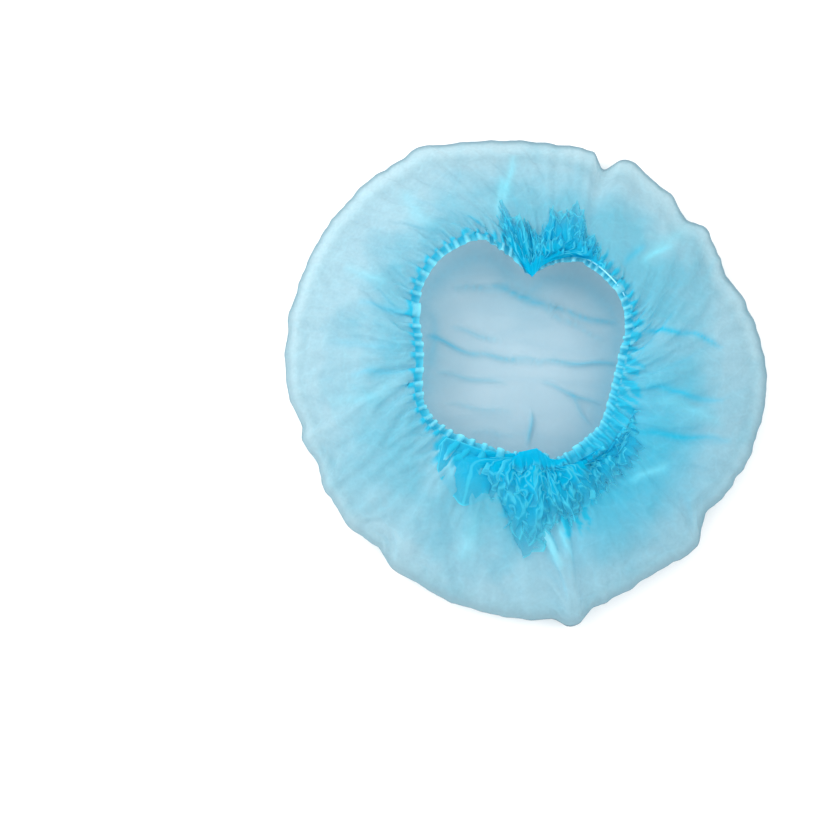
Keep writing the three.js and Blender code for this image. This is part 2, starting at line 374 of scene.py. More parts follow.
@dataclass
class CapForm:
    """Smooth form of the lying cap, without its gathers, in millimetres.

    Args:
        centring: Plan x and y of the outline's centre.
        roll_height: Height of the widest point over the table.
        roll_depth: How far the cloth rolls in below the widest point.
        roll_rise: Height of the puffed brim over the widest point, near the outline.
        puff_reach: Place between the rim and the outline that draws the brim up.
        puff_rise: How far the brim rises over the frill.
        back_lean: Turn of the gathers from rim to outline at the back notch, in degrees.
        front_lean: The same at the front notch.
        back_notch: Back notch of the head opening, as x, y and z.
        front_notch: Front notch of the head opening.
        rim_left: Points of the frill's edge from the back notch to the front one, on the left.
        rim_right: The same on the right.
        reach: Distance of the outline from the centre, at equal angles from +X towards +Y.
        outline_folds: Bulges and notches of the outline.
        nicks: Small random corners of the outline, as (height, number round the cap, seed).
    """

    centring: tuple = (0.43, -0.46)
    roll_height: float = 11.0
    roll_depth: float = 9.0
    roll_rise: float = 7.0
    puff_reach: float = 0.4
    puff_rise: float = 8.0
    back_lean: float = 6.0
    front_lean: float = 3.5
    back_notch: tuple = (2.5, 55, 33)
    front_notch: tuple = (3, -50, 32)
    rim_left: tuple = (
        (-5, 63, 35), (-14, 73, 37), (-26, 79, 39), (-41, 75, 39), (-56, 64, 38), (-65, 48, 36),
        (-66, 28, 35), (-63, 10, 36), (-64, -18, 36), (-58, -32, 35), (-45, -40, 34),
        (-27, -47, 34), (-9, -52, 33),
    )
    rim_right: tuple = (
        (9, 62, 34), (22, 66, 36), (35, 63, 38), (47, 53, 38), (56, 41, 37), (59, 28, 35),
        (55, 10, 35), (48, -14, 36), (40, -37, 36), (24, -50, 34), (13, -57, 33),
    )
    reach: tuple = (148, 143.5, 152, 153.5, 161, 155, 148.5, 143, 145, 149.5, 144, 142)
    outline_folds: tuple = (
        Fold(26, 6, -2.5), Fold(39, 6, 3), Fold(46, 6, -3.5), Fold(63, 5, 3),
        Fold(69.5, 3.6, -8.5), Fold(113, 6, 3), Fold(192, 8, -3.5), Fold(203, 8, -4),
        Fold(220, 5, 1.5), Fold(229, 7, -3.5), Fold(280, 5.5, 8), Fold(299, 6, -1.5),
        Fold(312, 7, 4), Fold(322, 8, -4.5), Fold(338, 6, 1.5),
    )
    nicks: tuple = ((0.5, 83, 3), (0.75, 149, 4), (0.4, 251, 5))

    def __post_init__(self) -> None:
        """Traces both sides of the frill's edge once."""
        self._sides = [
            self._trace([self.back_notch, *rows, self.front_notch])
            for rows in (self.rim_left, self.rim_right)
        ]

    @staticmethod
    def _trace(stations: list, steps: int = 40) -> tuple:
        """Centripetal curve through the stations of one side.

        Args:
            stations: Points of the frill's edge.
            steps: Points on each stretch between two stations.

        Returns:
            The distances along the curve and its points.
        """
        points = np.array(stations, float)
        points = np.vstack([2 * points[0] - points[1], points, 2 * points[-1] - points[-2]])
        traced = []
        for a, b, c, d in zip(points, points[1:], points[2:], points[3:]):
            knots = np.cumsum([0.0, *(math.sqrt(np.linalg.norm(q - p)) for p, q in ((a, b), (b, c), (c, d)))])
            t = np.linspace(knots[1], knots[2], steps, endpoint=False)[:, None]

            def mix(p: np.ndarray, q: np.ndarray, low: float, high: float) -> np.ndarray:
                """Points from p to q, for the places between low and high."""
                return ((high - t) * p + (t - low) * q) / (high - low)

            ab, bc, cd = (mix(a, b, knots[0], knots[1]), mix(b, c, knots[1], knots[2]),
                          mix(c, d, knots[2], knots[3]))
            traced.append(mix(mix(ab, bc, knots[0], knots[2]), mix(bc, cd, knots[1], knots[3]),
                              knots[1], knots[2]))
        traced = np.vstack([*traced, points[-2][None]])
        distance = np.concatenate([[0.0], np.cumsum(np.linalg.norm(np.diff(traced, axis=0), axis=1))])
        return distance, traced

    def rim(self, turn: np.ndarray) -> np.ndarray:
        """Points of the frill's edge.

        Args:
            turn: Places round the cap: 0 is the back notch, 0.5 the front notch, by the left side.

        Returns:
            Points, one for each place.
        """
        place = np.mod(turn, 1.0) * 2.0
        share = np.where(place <= 1.0, place, 2.0 - place)
        sides = [
            np.stack([np.interp(share * distance[-1], distance, points[:, axis]) for axis in range(3)], -1)
            for distance, points in self._sides
        ]
        return np.where((place <= 1.0)[..., None], sides[0], sides[1])

    def outline_angle(self, turn: np.ndarray) -> np.ndarray:
        """Angle at which the gathers meet the outline.

        Args:
            turn: Places round the cap.

        Returns:
            The angle of each place, in degrees.
        """
        rim = self.rim(turn)
        lean = self.front_lean + (self.back_lean - self.front_lean) * (0.5 + 0.5 * np.cos(2 * np.pi * turn))
        return np.degrees(np.arctan2(rim[..., 1], rim[..., 0])) + lean

    def reach_at(self, degrees: np.ndarray) -> np.ndarray:
        """Distance of the outline from the centre.

        Args:
            degrees: Angles from +X towards +Y.

        Returns:
            The distance at each angle, in millimetres.
        """
        table = np.array(self.reach)
        place = np.mod(degrees, 360.0) / (360.0 / len(table))
        first = np.floor(place).astype(int)
        part = place - first
        before, start, end, after = (table[(first + step) % len(table)] for step in (-1, 0, 1, 2))
        square, cube = part * part, part * part * part
        smooth = ((2 * cube - 3 * square + 1) * start + (cube - 2 * square + part) * (end - before) / 2
                  + (3 * square - 2 * cube) * end + (cube - square) * (after - start) / 2)
        folds = sum(f.height * bump(degrees, f.at, f.half) for f in self.outline_folds)
        place = degrees / 360.0
        corners = sum(height * corner_noise(place, count, seed) for height, count, seed in self.nicks)
        return smooth + folds + corners

    def brim(self, turn: np.ndarray, along: np.ndarray) -> np.ndarray:
        """Points of the brim.

        Args:
            turn: Places round the cap.
            along: Places from the frill's edge, 0, to the widest point, 1.

        Returns:
            The points, with x, y and z last.
        """
        turn, along = np.broadcast_arrays(turn, along)
        rim = self.rim(turn)
        degrees = self.outline_angle(turn)
        reach = self.reach_at(degrees)
        rest = 1.0 - along
        pull = (rest**3, 3 * rest * rest * along, 3 * rest * along * along, along**3)
        out = pull[1] * self.puff_reach + pull[2] + pull[3]
        height = (pull[0] * rim[..., 2] + pull[1] * (rim[..., 2] + self.puff_rise)
                  + pull[2] * (self.roll_height + self.roll_rise) + pull[3] * self.roll_height)
        x = rim[..., 0] * (1 - out) + reach * np.cos(np.radians(degrees)) * out
        y = rim[..., 1] * (1 - out) + reach * np.sin(np.radians(degrees)) * out
        return np.stack([x + self.centring[0], y + self.centring[1], height], -1)

    def roll(self, turn: np.ndarray, drop: np.ndarray) -> np.ndarray:
        """Points of the roll under the widest point.

        Args:
            turn: Places round the cap.
            drop: How far round the roll, from 0 degrees to 90 at the table.

        Returns:
            The points, with x, y and z last.
        """
        turn, drop = np.broadcast_arrays(turn, drop)
        degrees = self.outline_angle(turn)
        reach = self.reach_at(degrees) - self.roll_depth * (1 - np.cos(np.radians(drop)))
        height = self.roll_height * (1 - np.sin(np.radians(drop)))
        x = reach * np.cos(np.radians(degrees)) + self.centring[0]
        y = reach * np.sin(np.radians(degrees)) + self.centring[1]
        return np.stack([x, y, height], -1)


class Flow:
    """A shader socket on which numbers and other sockets can be reckoned with."""

    def __init__(self, ink: "Ink", socket: bpy.types.NodeSocket) -> None:
        """Wraps a socket of the given node tree."""
        self.ink, self.socket = ink, socket

    def _math(self, operation: str, *values: object) -> "Flow":
        """Adds one Math node."""
        node = self.ink.node("ShaderNodeMath", {"operation": operation}, dict(enumerate(values)))
        return Flow(self.ink, node.outputs[0])

    def __add__(self, other: object) -> "Flow":
        """self + other."""
        return self._math("ADD", self, other)

    def __radd__(self, other: object) -> "Flow":
        """other + self."""
        return self._math("ADD", other, self)

    def __sub__(self, other: object) -> "Flow":
        """self - other."""
        return self._math("SUBTRACT", self, other)

    def __rsub__(self, other: object) -> "Flow":
        """other - self."""
        return self._math("SUBTRACT", other, self)

    def __mul__(self, other: object) -> "Flow":
        """self * other."""
        return self._math("MULTIPLY", self, other)

    def __rmul__(self, other: object) -> "Flow":
        """other * self."""
        return self._math("MULTIPLY", other, self)

    def size(self) -> "Flow":
        """The value without its sign."""
        return self._math("ABSOLUTE", self)

    def clamped(self, low: float, high: float) -> "Flow":
        """The value kept between two limits."""
        return self._math("MINIMUM", self._math("MAXIMUM", self, low), high)


class Ink:
    """Node tree of one material."""

    def __init__(self, name: str) -> None:
        """Makes an empty material.

        Args:
            name: Its name.
        """
        self.material = bpy.data.materials.new(name)
        self.material.use_nodes = True
        self.tree = self.material.node_tree
        self.tree.nodes.clear()

    def node(self, kind: str, settings: dict, inputs: dict) -> bpy.types.Node:
        """Adds one node.

        Args:
            kind: Type of the node.
            settings: Its own settings, set first.
            inputs: Values or links of its sockets, by name or number.

        Returns:
            The new node.
        """
        made = self.tree.nodes.new(kind)
        for name, value in settings.items():
            setattr(made, name, value)
        for key, value in inputs.items():
            if isinstance(value, Flow):
                value = value.socket
            if isinstance(value, bpy.types.NodeSocket):
                self.tree.links.new(value, made.inputs[key])
            else:
                made.inputs[key].default_value = value
        return made

    def attribute(self, name: str) -> Flow:
        """Value of a mesh attribute."""
        return Flow(self, self.node("ShaderNodeAttribute", {"attribute_name": name}, {}).outputs["Fac"])

    def noise(self, scale: float, detail: float, vector: object) -> Flow:
        """Adds noise.

        Args:
            scale: Its fineness.
            detail: Number of finer layers in it.
            vector: Socket of the places.

        Returns:
            Values from 0 to 1.
        """
        made = self.node("ShaderNodeTexNoise", {}, {"Scale": scale, "Detail": detail, "Vector": vector})
        return Flow(self, made.outputs["Fac"])

    def mix_colour(self, factor: object, first: object, second: object) -> bpy.types.NodeSocket:
        """Mixes two colours.

        Args:
            factor: Share of the second colour.
            first: Colour or socket at 0.
            second: Colour or socket at 1.

        Returns:
            Socket of the mixed colour.
        """
        made = self.node("ShaderNodeMix", {"data_type": "RGBA"}, {0: factor, 6: first, 7: second})
        return made.outputs[2]


def linear(red: int, green: int, blue: int) -> tuple:
    """Turns display values into a linear colour.

    Args:
        red: Display value from 0 to 255.
        green: The same of green.
        blue: The same of blue.

    Returns:
        Red, green, blue and an alpha of 1.
    """
    def channel(value: int) -> float:
        """Linear value of one display value."""
        share = value / 255
        return share / 12.92 if share <= 0.04045 else ((share + 0.055) / 1.055) ** 2.4
    return (channel(red), channel(green), channel(blue), 1.0)


# Attributes of the cloth that its finish reads
MARKS = ("bunch_and_shade", "steep", "crest", "pale", "calm_and_shaded", "edge", "side")


@dataclass(frozen=True)
class NonwovenFinish:
    """Thin spunbond cloth: see-through in one layer, strong cyan where many layers lie together.

    Args:
        name: Name of the material.
        thin: Colour of a single loose layer.
        bunched: Colour where the gathers press the layers together.
        crest: Painted highlight where light falls on a sharp fold, partly the fold's own whiter look.
        pale: Paler colour of the loose cloth near the outline, partly painted sheen.
        crown_shade: Painted shade: greyer colour of the crown that lies in the cap's hollow on the table.
        edge: Colour of the fold along the outline.
        side: Painted shade: greyer colour of the cloth that drops to the outline.
        cover: Share of light that one loose layer stops.
        bunched_cover: Share that bunched cloth stops.
        steep_cover: Share that a layer seen from its side stops besides.
        crest_cover: Share that a sharp fold stops besides.
        edge_cover: Share that the outline stops besides.
        side_shade_cover: Share that the cloth above the outline stops besides, as painted shade.
        crown_shade_cover: Share that the crown on the table stops besides, as painted shade.
        uneven_cover: Unevenness of that share in clouds, in patches and from fibre to fibre.
        line_cover: What the crown's ripples and the brim's crinkles stop besides.
        scales: Clouds, patches and fibres to the metre.
        crinkles: Fine lines to the metre along x, y and z.
        crinkle_thin: How thin they are.
        ripples: Long lines of the crown to the metre.
        ripple_thin: How thin they are.
        clouding: How strongly the clouds mix the pale colour and the thin one.
        steep_tint: How much of the bunched colour a layer seen from its side takes.
        crinkle_highlight: How much of the painted highlight colour a crinkle takes, and how much less on the
            crown.
        side_shade_tint: How much of that painted shade the cloth which drops to the outline takes.
        edge_tint: How much of the edge's colour the outline takes.
        grain_shares: Heights of the fibres and of the patches in the relief.
        grain_strength: Strength of the relief.
        grain_depth: Its depth, in metres.
        glow: Share of the stopped light that comes through on the other side.
        roughness: Roughness of the fibres.
        sheen: Strength of the soft shine at a grazing angle.
        gloss: Strength of the mirror-like shine.
    """

    name: str = "nonwoven_cloth"
    thin: tuple = linear(104, 193, 213)
    bunched: tuple = linear(3, 177, 211)
    crest: tuple = linear(132, 228, 244)
    pale: tuple = linear(178, 216, 226)
    crown_shade: tuple = linear(140, 182, 200)
    edge: tuple = linear(58, 78, 88)
    side: tuple = linear(118, 156, 170)
    cover: float = 0.50
    bunched_cover: float = 0.92
    steep_cover: float = 0.10
    crest_cover: float = 0.30
    edge_cover: float = 0.45
    side_shade_cover: float = 0.12
    crown_shade_cover: float = 0.06
    uneven_cover: tuple = (0.18, 0.16, 0.12)
    line_cover: tuple = (0.05, 0.03)
    scales: tuple = (27.0, 120.0, 520.0)
    crinkles: tuple = (62.0, 62.0, 40.0)
    crinkle_thin: float = 15.0
    ripples: tuple = (7.0, 30.0, 1.0)
    ripple_thin: float = 12.0
    clouding: float = 2.4
    steep_tint: float = 0.18
    crinkle_highlight: tuple = (0.05, 0.04)
    side_shade_tint: float = 0.75
    edge_tint: float = 0.85
    grain_shares: tuple = (0.4, 1.5)
    grain_strength: float = 0.45
    grain_depth: float = 0.0006
    glow: float = 0.22
    roughness: float = 0.65
    sheen: float = 0.12
    gloss: float = 0.25

    def _lines(self, ink: Ink, place: object, scale: tuple, sharpness: float) -> Flow:
        """Thin wandering lines, as light wrinkles draw them.

        Args:
            ink: The material's node tree.
            place: Socket of the places on the cloth.
            scale: Lines to the metre along each axis.
            sharpness: How thin the lines are.

        Returns:
            1 on a line and 0 away from it.
        """
        stretched = ink.node("ShaderNodeMapping", {}, {"Vector": place, "Scale": scale}).outputs[0]
        wave = ink.noise(1.0, 1.0, stretched)
        line = (1.0 - (wave - 0.5).size() * sharpness).clamped(0.0, 1.0)
        return line * line

    def _cover(self, marks: dict, uneven: list, crinkle: Flow, ripple: Flow) -> Flow:
        """How much light the cloth stops.

        Args:
            marks: The cloth's attributes, by name.
            uneven: Clouds, patches and fibres.
            crinkle: Fine lines.
            ripple: Long lines of the crown.

        Returns:
            The share of the light.
        """
        clouds, patches, fibres = ((wave - 0.5) * size for wave, size in zip(uneven, self.uneven_cover))
        ripples, crinkles = (line * size for line, size in zip((ripple, crinkle), self.line_cover))
        layers = self.cover + marks["steep"] * self.steep_cover
        layers = layers + marks["bunch_and_shade"] * (self.bunched_cover - self.cover)
        layers = layers + marks["crest"] * self.crest_cover
        # More cover along the outline's fold, and painted shade on the cloth that drops to it
        layers = layers + marks["edge"] * self.edge_cover + marks["side"] * self.side_shade_cover
        # The crown on the table stops more light, as painted shade
        layers = layers + marks["calm_and_shaded"] * self.crown_shade_cover + clouds + ripples
        fine = (patches + fibres + crinkles) * (1.0 - marks["calm_and_shaded"] * 0.8)
        return (layers + fine).clamped(0.0, 0.97)

    def _colour(self, ink: Ink, marks: dict, cloud: Flow, crinkle: Flow) -> bpy.types.NodeSocket:
        """Colour of the cloth.

        Args:
            ink: The material's node tree.
            marks: The cloth's attributes, by name.
            cloud: Large soft patches.
            crinkle: Fine lines.

        Returns:
            Socket of the colour.
        """
        calm_and_shaded = marks["calm_and_shaded"]
        loose, lost = self.crinkle_highlight
        paleness = (marks["pale"] + (cloud - 0.5) * self.clouding).clamped(0.0, 1.0)
        # Bunched colour for thick cloth, and painted shade: gather valleys, furrows and the crown near the
        # rim
        thickness = (marks["bunch_and_shade"] + marks["steep"] * self.steep_tint).clamped(0.0, 1.0)
        # Paler cloth towards the outline, partly painted sheen, mottled by the clouds
        colour = ink.mix_colour(paleness, self.thin, self.pale)
        colour = ink.mix_colour(thickness, colour, self.bunched)
        # Painted highlight where light falls on a sharp fold, partly the fold's own whiter look
        colour = ink.mix_colour(marks["crest"].clamped(0.0, 1.0), colour, self.crest)
        # Painted highlight along the fine crinkle lines, less on the crown
        colour = ink.mix_colour(crinkle * (loose - calm_and_shaded * lost), colour, self.crest)
        # Painted shade: the crown in the cap's hollow and the foot of the roll take a greyer colour
        colour = ink.mix_colour(calm_and_shaded, colour, self.crown_shade)
        # Painted shade on the cloth that drops to the outline
        colour = ink.mix_colour(marks["side"] * self.side_shade_tint, colour, self.side)
        return ink.mix_colour(marks["edge"] * self.edge_tint, colour, self.edge)

    def material(self) -> bpy.types.Material:
        """Builds the material.

        Returns:
            The new material.
        """
        ink = Ink(self.name)
        place = ink.node("ShaderNodeTexCoord", {}, {}).outputs["Object"]
        marks = {name: ink.attribute(name) for name in MARKS}
        calm_and_shaded = marks["calm_and_shaded"]
        uneven = [ink.noise(scale, detail, place) for scale, detail in zip(self.scales, (3.0, 2.0, 2.0))]
        cloud, patch, fibre = uneven
        crinkle = self._lines(ink, place, self.crinkles, self.crinkle_thin)
        # Long darker lines on the crown: partly the extra layers of its wrinkles, partly painted shade in
        # their furrows
        ripple = self._lines(ink, place, self.ripples, self.ripple_thin) * calm_and_shaded
        cover = self._cover(marks, uneven, crinkle, ripple)
        colour = self._colour(ink, marks, cloud, crinkle)
        height = (fibre * self.grain_shares[0] + patch * self.grain_shares[1]) * (1.0 - calm_and_shaded * 0.75)
        grain = ink.node("ShaderNodeBump", {}, {
            "Strength": self.grain_strength, "Distance": self.grain_depth, "Height": height,
        })
        normal = grain.outputs["Normal"]
        solid = ink.node("ShaderNodeBsdfPrincipled", {}, {
            "Base Color": colour, "Roughness": self.roughness, "Normal": normal,
            "Specular IOR Level": self.gloss, "Sheen Weight": self.sheen, "Sheen Roughness": 0.5,
        })
        glow = ink.node("ShaderNodeBsdfTranslucent", {}, {"Color": colour, "Normal": normal})
        cloth = ink.node("ShaderNodeMixShader", {}, {0: self.glow, 1: solid.outputs[0], 2: glow.outputs[0]})
        clear = ink.node("ShaderNodeBsdfTransparent", {}, {})
        sheet = ink.node("ShaderNodeMixShader", {}, {0: cover, 1: clear.outputs[0], 2: cloth.outputs[0]})
        ink.node("ShaderNodeOutputMaterial", {}, {"Surface": sheet.outputs[0]})
        return ink.material


@dataclass(frozen=True)
class ElasticFinish:
    """Pale rubber thread with a fine uneven skin.

    Args:
        name: Name of the material.
        colour: Colour of the thread.
        shade: Colour in its fine hollows.
        specks: Fine hollows to the metre.
        grain_strength: Strength of their relief.
        grain_depth: Its depth, in metres.
        roughness: Roughness of the skin.
    """

    name: str = "elastic_thread"
    colour: tuple = linear(150, 226, 244)
    shade: tuple = linear(120, 210, 234)
    specks: float = 900.0
    grain_strength: float = 0.4
    grain_depth: float = 0.0002
    roughness: float = 0.55

    def material(self) -> bpy.types.Material:
        """Builds the material.

        Returns:
            The new material.
        """
        ink = Ink(self.name)
        place = ink.node("ShaderNodeTexCoord", {}, {}).outputs["Object"]
        speck = ink.noise(self.specks, 2.0, place)
        colour = ink.mix_colour(speck * 0.5, self.colour, self.shade)
        grain = ink.node("ShaderNodeBump", {}, {
            "Strength": self.grain_strength, "Distance": self.grain_depth, "Height": speck,
        })
        rubber = ink.node("ShaderNodeBsdfPrincipled", {}, {
            "Base Color": colour, "Roughness": self.roughness, "Normal": grain.outputs["Normal"],
        })
        ink.node("ShaderNodeOutputMaterial", {}, {"Surface": rubber.outputs[0]})
        return ink.material


@dataclass(frozen=True)
class FloorFinish:
    """Plain white table top.

    Args:
        name: Name of the material.
        colour: Colour of the paint.
        roughness: Roughness of the paint.
        gloss: Strength of its mirror-like shine.
    """

    name: str = "table_top"
    colour: tuple = (0.93, 0.93, 0.93, 1.0)
    roughness: float = 0.9
    gloss: float = 0.1

    def material(self) -> bpy.types.Material:
        """Builds the material.

        Returns:
            The new material.
        """
        ink = Ink(self.name)
        paint = ink.node("ShaderNodeBsdfPrincipled", {}, {
            "Base Color": self.colour, "Roughness": self.roughness, "Specular IOR Level": self.gloss,
        })
        ink.node("ShaderNodeOutputMaterial", {}, {"Surface": paint.outputs[0]})
        return ink.material


def grid_piece(name: str, points: np.ndarray, closed: bool, attributes: dict) -> bpy.types.Object:
    """Makes a sheet from a grid primitive whose corners are laid on the given points.

    Args:
        name: Name of the piece.
        points: Rows by columns by three, in millimetres.
        closed: True if the last column meets the first, which is then left out of points.
        attributes: Values for each point, by attribute name, as rows by columns.

    Returns:
        The new object.
    """
    if closed:
        points = np.concatenate([points, points[:, :1]], axis=1)
        attributes = {key: np.concatenate([a, a[:, :1]], axis=1) for key, a in attributes.items()}
    rows, columns = points.shape[:2]
    bpy.ops.object.select_all(action="DESELECT")
    bpy.ops.mesh.primitive_grid_add(x_subdivisions=columns - 1, y_subdivisions=rows - 1, size=1.0)
    piece = bpy.context.object
    piece.name = name
    piece.data.name = name
    piece.data.vertices.foreach_set("co", (points * MM).astype(np.float32).ravel())
    for key, values in attributes.items():
        made = piece.data.attributes.new(key, "FLOAT", "POINT")
        made.data.foreach_set("value", np.asarray(values, np.float32).ravel())
    bpy.ops.object.mode_set(mode="EDIT")
    bpy.ops.mesh.select_all(action="SELECT")
    bpy.ops.mesh.remove_doubles(threshold=WELD)
    bpy.ops.mesh.normals_make_consistent(inside=False)
    bpy.ops.object.mode_set(mode="OBJECT")
    bpy.ops.object.shade_smooth()
    return piece


@dataclass
class CapCloth:
    """The pleated sheet: crown, rolled outline, gathered brim and frill.

    Args:
        form: Smooth form of the cap.
        gathers: Number of gathers round the head opening.
        columns_per_gather: Columns of points to each gather.
        brim_rows: Rows of points from the frill's edge to the widest point.
        roll_rows: Rows from there to the table.
        crown_rows: Rows from the table's edge of the roll to the middle.
        row_crowding: Power that crowds the brim's rows towards the frill.
        elastic_line: Distance of the elastic from the frill's edge, in millimetres.
        frill_bunching: Extra length of cloth round the frill's edge, as a share.
        frill_reach: Distance over which that fades.
        brim_bunching: Extra length of cloth round the brim near the frill, as a share.
        brim_reach: Distance over which that fades.
        slack: Extra length round the whole brim.
        drape: Length of the cloth out from the frill, as a share of the smooth form's.
        stiffness: Strength against folding.
        tether: Share of the way back to the smooth form that the cloth is drawn in each round.
        end_tether: The same near the outline, besides.
        end_rows: Rows before the widest point over which the folds end.
        gather_height: Height of the gathers at the elastic, in millimetres.
        dense_loss: How much lower they are where the cloth is bunched far out.
        second_height: Height of the wider folds that every two gathers run into.
        ruffle_height: Height of the small waves at the frill's edge.
        speck_height: Height of the finest unevenness.
        seed: Seed of the random folds.
        waves: Soft waves of the brim, as (height, length, number round the cap, distance from the
            frill's edge at which they start, distance at which they are full).
        flatter: Parts of the brim that lie flatter.
        doubled: Part of the brim that looks thicker, near the frill.
        slant: How far the gathers run slantwise, in gathers to the millimetre.
        slanted: Middle and half width of the part where they do, in degrees round the cap.
        paler: Part of the brim that looks paler; its two distances are rows of points.
        furrow_shade: How much painted shade a furrow gets, for each millimetre of its depth.
        ridge_highlight: How much painted highlight a ridge gets, for each millimetre of its height.
        edge_half: Half the width of the dark line along the outline, in rows of points.
        bunched: How far the bunched cloth reaches out, as (place round the cap, millimetres).
        brim_tone: How much thicker the brim looks, as (place round the cap, share).
        creases: Single ridges and furrows of the brim.
        wrinkles: Single ridges of the crown.
    """

    form: CapForm
    gathers: int = 68
    columns_per_gather: int = 8
    brim_rows: int = 64
    roll_rows: int = 8
    crown_rows: int = 52
    row_crowding: float = 1.35
    elastic_line: float = 3.6
    frill_bunching: float = 0.75
    frill_reach: float = 9.0
    brim_bunching: float = 0.11
    brim_reach: float = 40.0
    slack: float = 0.04
    drape: float = 1.015
    stiffness: float = 0.12
    tether: float = 0.004
    end_tether: float = 0.05
    end_rows: int = 16
    gather_height: float = 2.3
    dense_loss: float = 0.5
    second_height: float = 1.5
    ruffle_height: float = 0.9
    speck_height: float = 0.07
    seed: int = 7
    waves: tuple = ((2.4, 26.0, 34, 8, 30), (1.0, 15.0, 52, 4, 24))
    flatter: tuple = (Patch(16.0, 30.0, 10.0, 30.0, 0.8), Patch(312.0, 46.0, 7.0, 18.0, 0.85))
    doubled: Patch = Patch(212.0, 55.0, 45.0, 85.0, 0.26)
    slant: float = 0.06
    slanted: tuple = (245.0, 40.0)
    paler: Patch = Patch(62.0, 75.0, 10, 34, 0.5)
    furrow_shade: float = 0.17
    ridge_highlight: float = 0.16
    edge_half: float = 1.35
    bunched: tuple = (
        (0, 20), (0.02, 20), (0.045, 13), (0.06, 8), (0.1, 7), (0.25, 7), (0.38, 8), (0.395, 20), (0.42, 24),
        (0.45, 28), (0.48, 38), (0.5, 48), (0.53, 42), (0.56, 34), (0.60, 27), (0.63, 20), (0.68, 17),
        (0.74, 12), (0.8, 9), (0.86, 11), (0.90, 14), (0.93, 17), (0.96, 20), (0.98, 18), (1, 20),
    )
    brim_tone: tuple = (
        (0, 0.20), (0.12, 0.08), (0.3, 0.12), (0.42, 0.26), (0.48, 0.62), (0.56, 0.78), (0.64, 0.78),
        (0.72, 0.44), (0.85, 0.26), (1, 0.20),
    )
    creases: tuple = (
        Crease((70, 21), (99, 22), -4.5, 1.8), Crease((95, 23), (120, 15), -4.2, 1.8),
        Crease((69, -13), (119, -21), -3.2, 2.2), Crease((64, -42), (124, -44), -2.8, 2.0),
        Crease((69, 63), (90, 79), 3.0, 1.8), Crease((58, 62), (74, 76), -3.2, 2.4),
        Crease((-70, 34), (-104, 40), -2.6, 2.2), Crease((-68, -2), (-108, -6), -2.6, 2.2),
        Crease((60, -72), (82, -58), 3.0, 2.2),
        Crease((-55, -48), (-46, -70), 2.6, 2.0), Crease((-13, 98), (-7, 140), 4.2, 2.4),
        Crease((-17, 92), (-15, 124), 3.4, 2.0), Crease((2, -88), (20, -122), 4.0, 2.2),
        Crease((9, -86), (27, -116), 3.2, 2.0), Crease((-30, -88), (-44, -116), 2.2, 4.0),
        Crease((70, 62), (104, 92), 2.2, 5.0), Crease((-84, 52), (-112, 66), 2.0, 4.0),
        Crease((-78, -14), (-120, -22), 1.8, 4.0), Crease((74, -22), (120, -34), 1.8, 3.5),
        Crease((-58, 84), (-76, 116), 2.0, 5.0), Crease((-74, 12), (-124, 16), -1.6, 3.0),
    )
    wrinkles: tuple = (
        Crease((-62, 28), (-28, 14), 2.0, 1.8), Crease((-34, 16), (12, 10), 1.8, 1.6),
        Crease((8, 11), (58, 9), 1.8, 1.7), Crease((-46, 33), (-14, 24), 1.2, 1.5),
        Crease((-44, 58), (-8, 60), 1.4, 1.6), Crease((-20, 60), (24, 44), 1.8, 1.6),
        Crease((16, 46), (58, 34), 1.8, 1.7), Crease((4, 50), (50, 24), 1.0, 1.4),
        Crease((10, -2), (46, -17), 1.3, 1.5), Crease((26, -6), (40, -30), 1.0, 1.3),
        Crease((4, -20), (2, -42), 1.8, 1.4), Crease((-56, 4), (-10, -4), 1.0, 1.6),
        Crease((-50, -16), (-6, -22), 0.8, 1.6), Crease((-34, -34), (0, -36), 0.7, 1.6),
        Crease((-58, 44), (-56, 6), 0.9, 2.6),
    )

    def _ring(self, step: int) -> tuple:
        """Smooth ring from the frill to the floor on every step-th column and row.

        Args:
            step: Columns and rows from one kept point to the next.

        Returns:
            The places round the cap and the points.
        """
        columns = self.gathers * self.columns_per_gather
        turn = np.arange(0, columns, step) / columns
        along = (np.arange(self.brim_rows + 1) / self.brim_rows) ** self.row_crowding
        drop = np.arange(1, self.roll_rows + 1) / self.roll_rows * 90.0
        ring = np.concatenate([
            self.form.brim(turn[None, :], along[:, None]),
            self.form.roll(turn[None, :], drop[:, None]),
        ])
        return turn[None, :], ring[::step]

    def _lengths(self, points: np.ndarray) -> tuple:
        """Lengths of the cloth's threads.

        Args:
            points: Rows by columns of points.

        Returns:
            Lengths from each point to the next column, to the next row, and back to the frill's edge.
        """
        across = np.linalg.norm(np.roll(points, -1, axis=1) - points, axis=2)
        down = np.linalg.norm(np.diff(points, axis=0), axis=2)
        return across, down, np.concatenate([np.zeros((1, points.shape[1])), np.cumsum(down, axis=0)])

    def _settled(self, step: int, moved: np.ndarray, bunching: float, rounds: int) -> np.ndarray:
        """Folds that the cloth falls into at one fineness.

        Args:
            step: Columns and rows between the points at this fineness.
            moved: How far the points already lie from the smooth ring.
            bunching: Share of the brim's bunching that is taken up so far.
            rounds: Rounds of settling.

        Returns:
            How far the settled points lie from the smooth ring.
        """
        _, ring = self._ring(step)
        across, down, distance = self._lengths(ring)
        ratio = 1.0 + bunching * (self.brim_bunching * np.exp(-distance / self.brim_reach) + self.slack)
        if step == 1:
            ratio = ratio + self.frill_bunching * np.exp(-distance / self.frill_reach)
        rows = len(ring)
        end = ease(np.arange(rows) * step, self.brim_rows - self.end_rows, self.brim_rows)[:, None]
        ratio = 1.0 + (ratio - 1.0) * (1.0 - end)
        free = np.broadcast_to(1.0 - end, distance.shape)
        free = free * (0.15 + 0.85 * ease(distance, 2.0, 9.0 if step == 1 else 22.0))
        pull = np.broadcast_to(self.tether + self.end_tether * end, distance.shape)
        settler = Settler(ring + moved, free)
        return settler.run(across * ratio, down * self.drape, ring, pull, self.stiffness, rounds) - ring

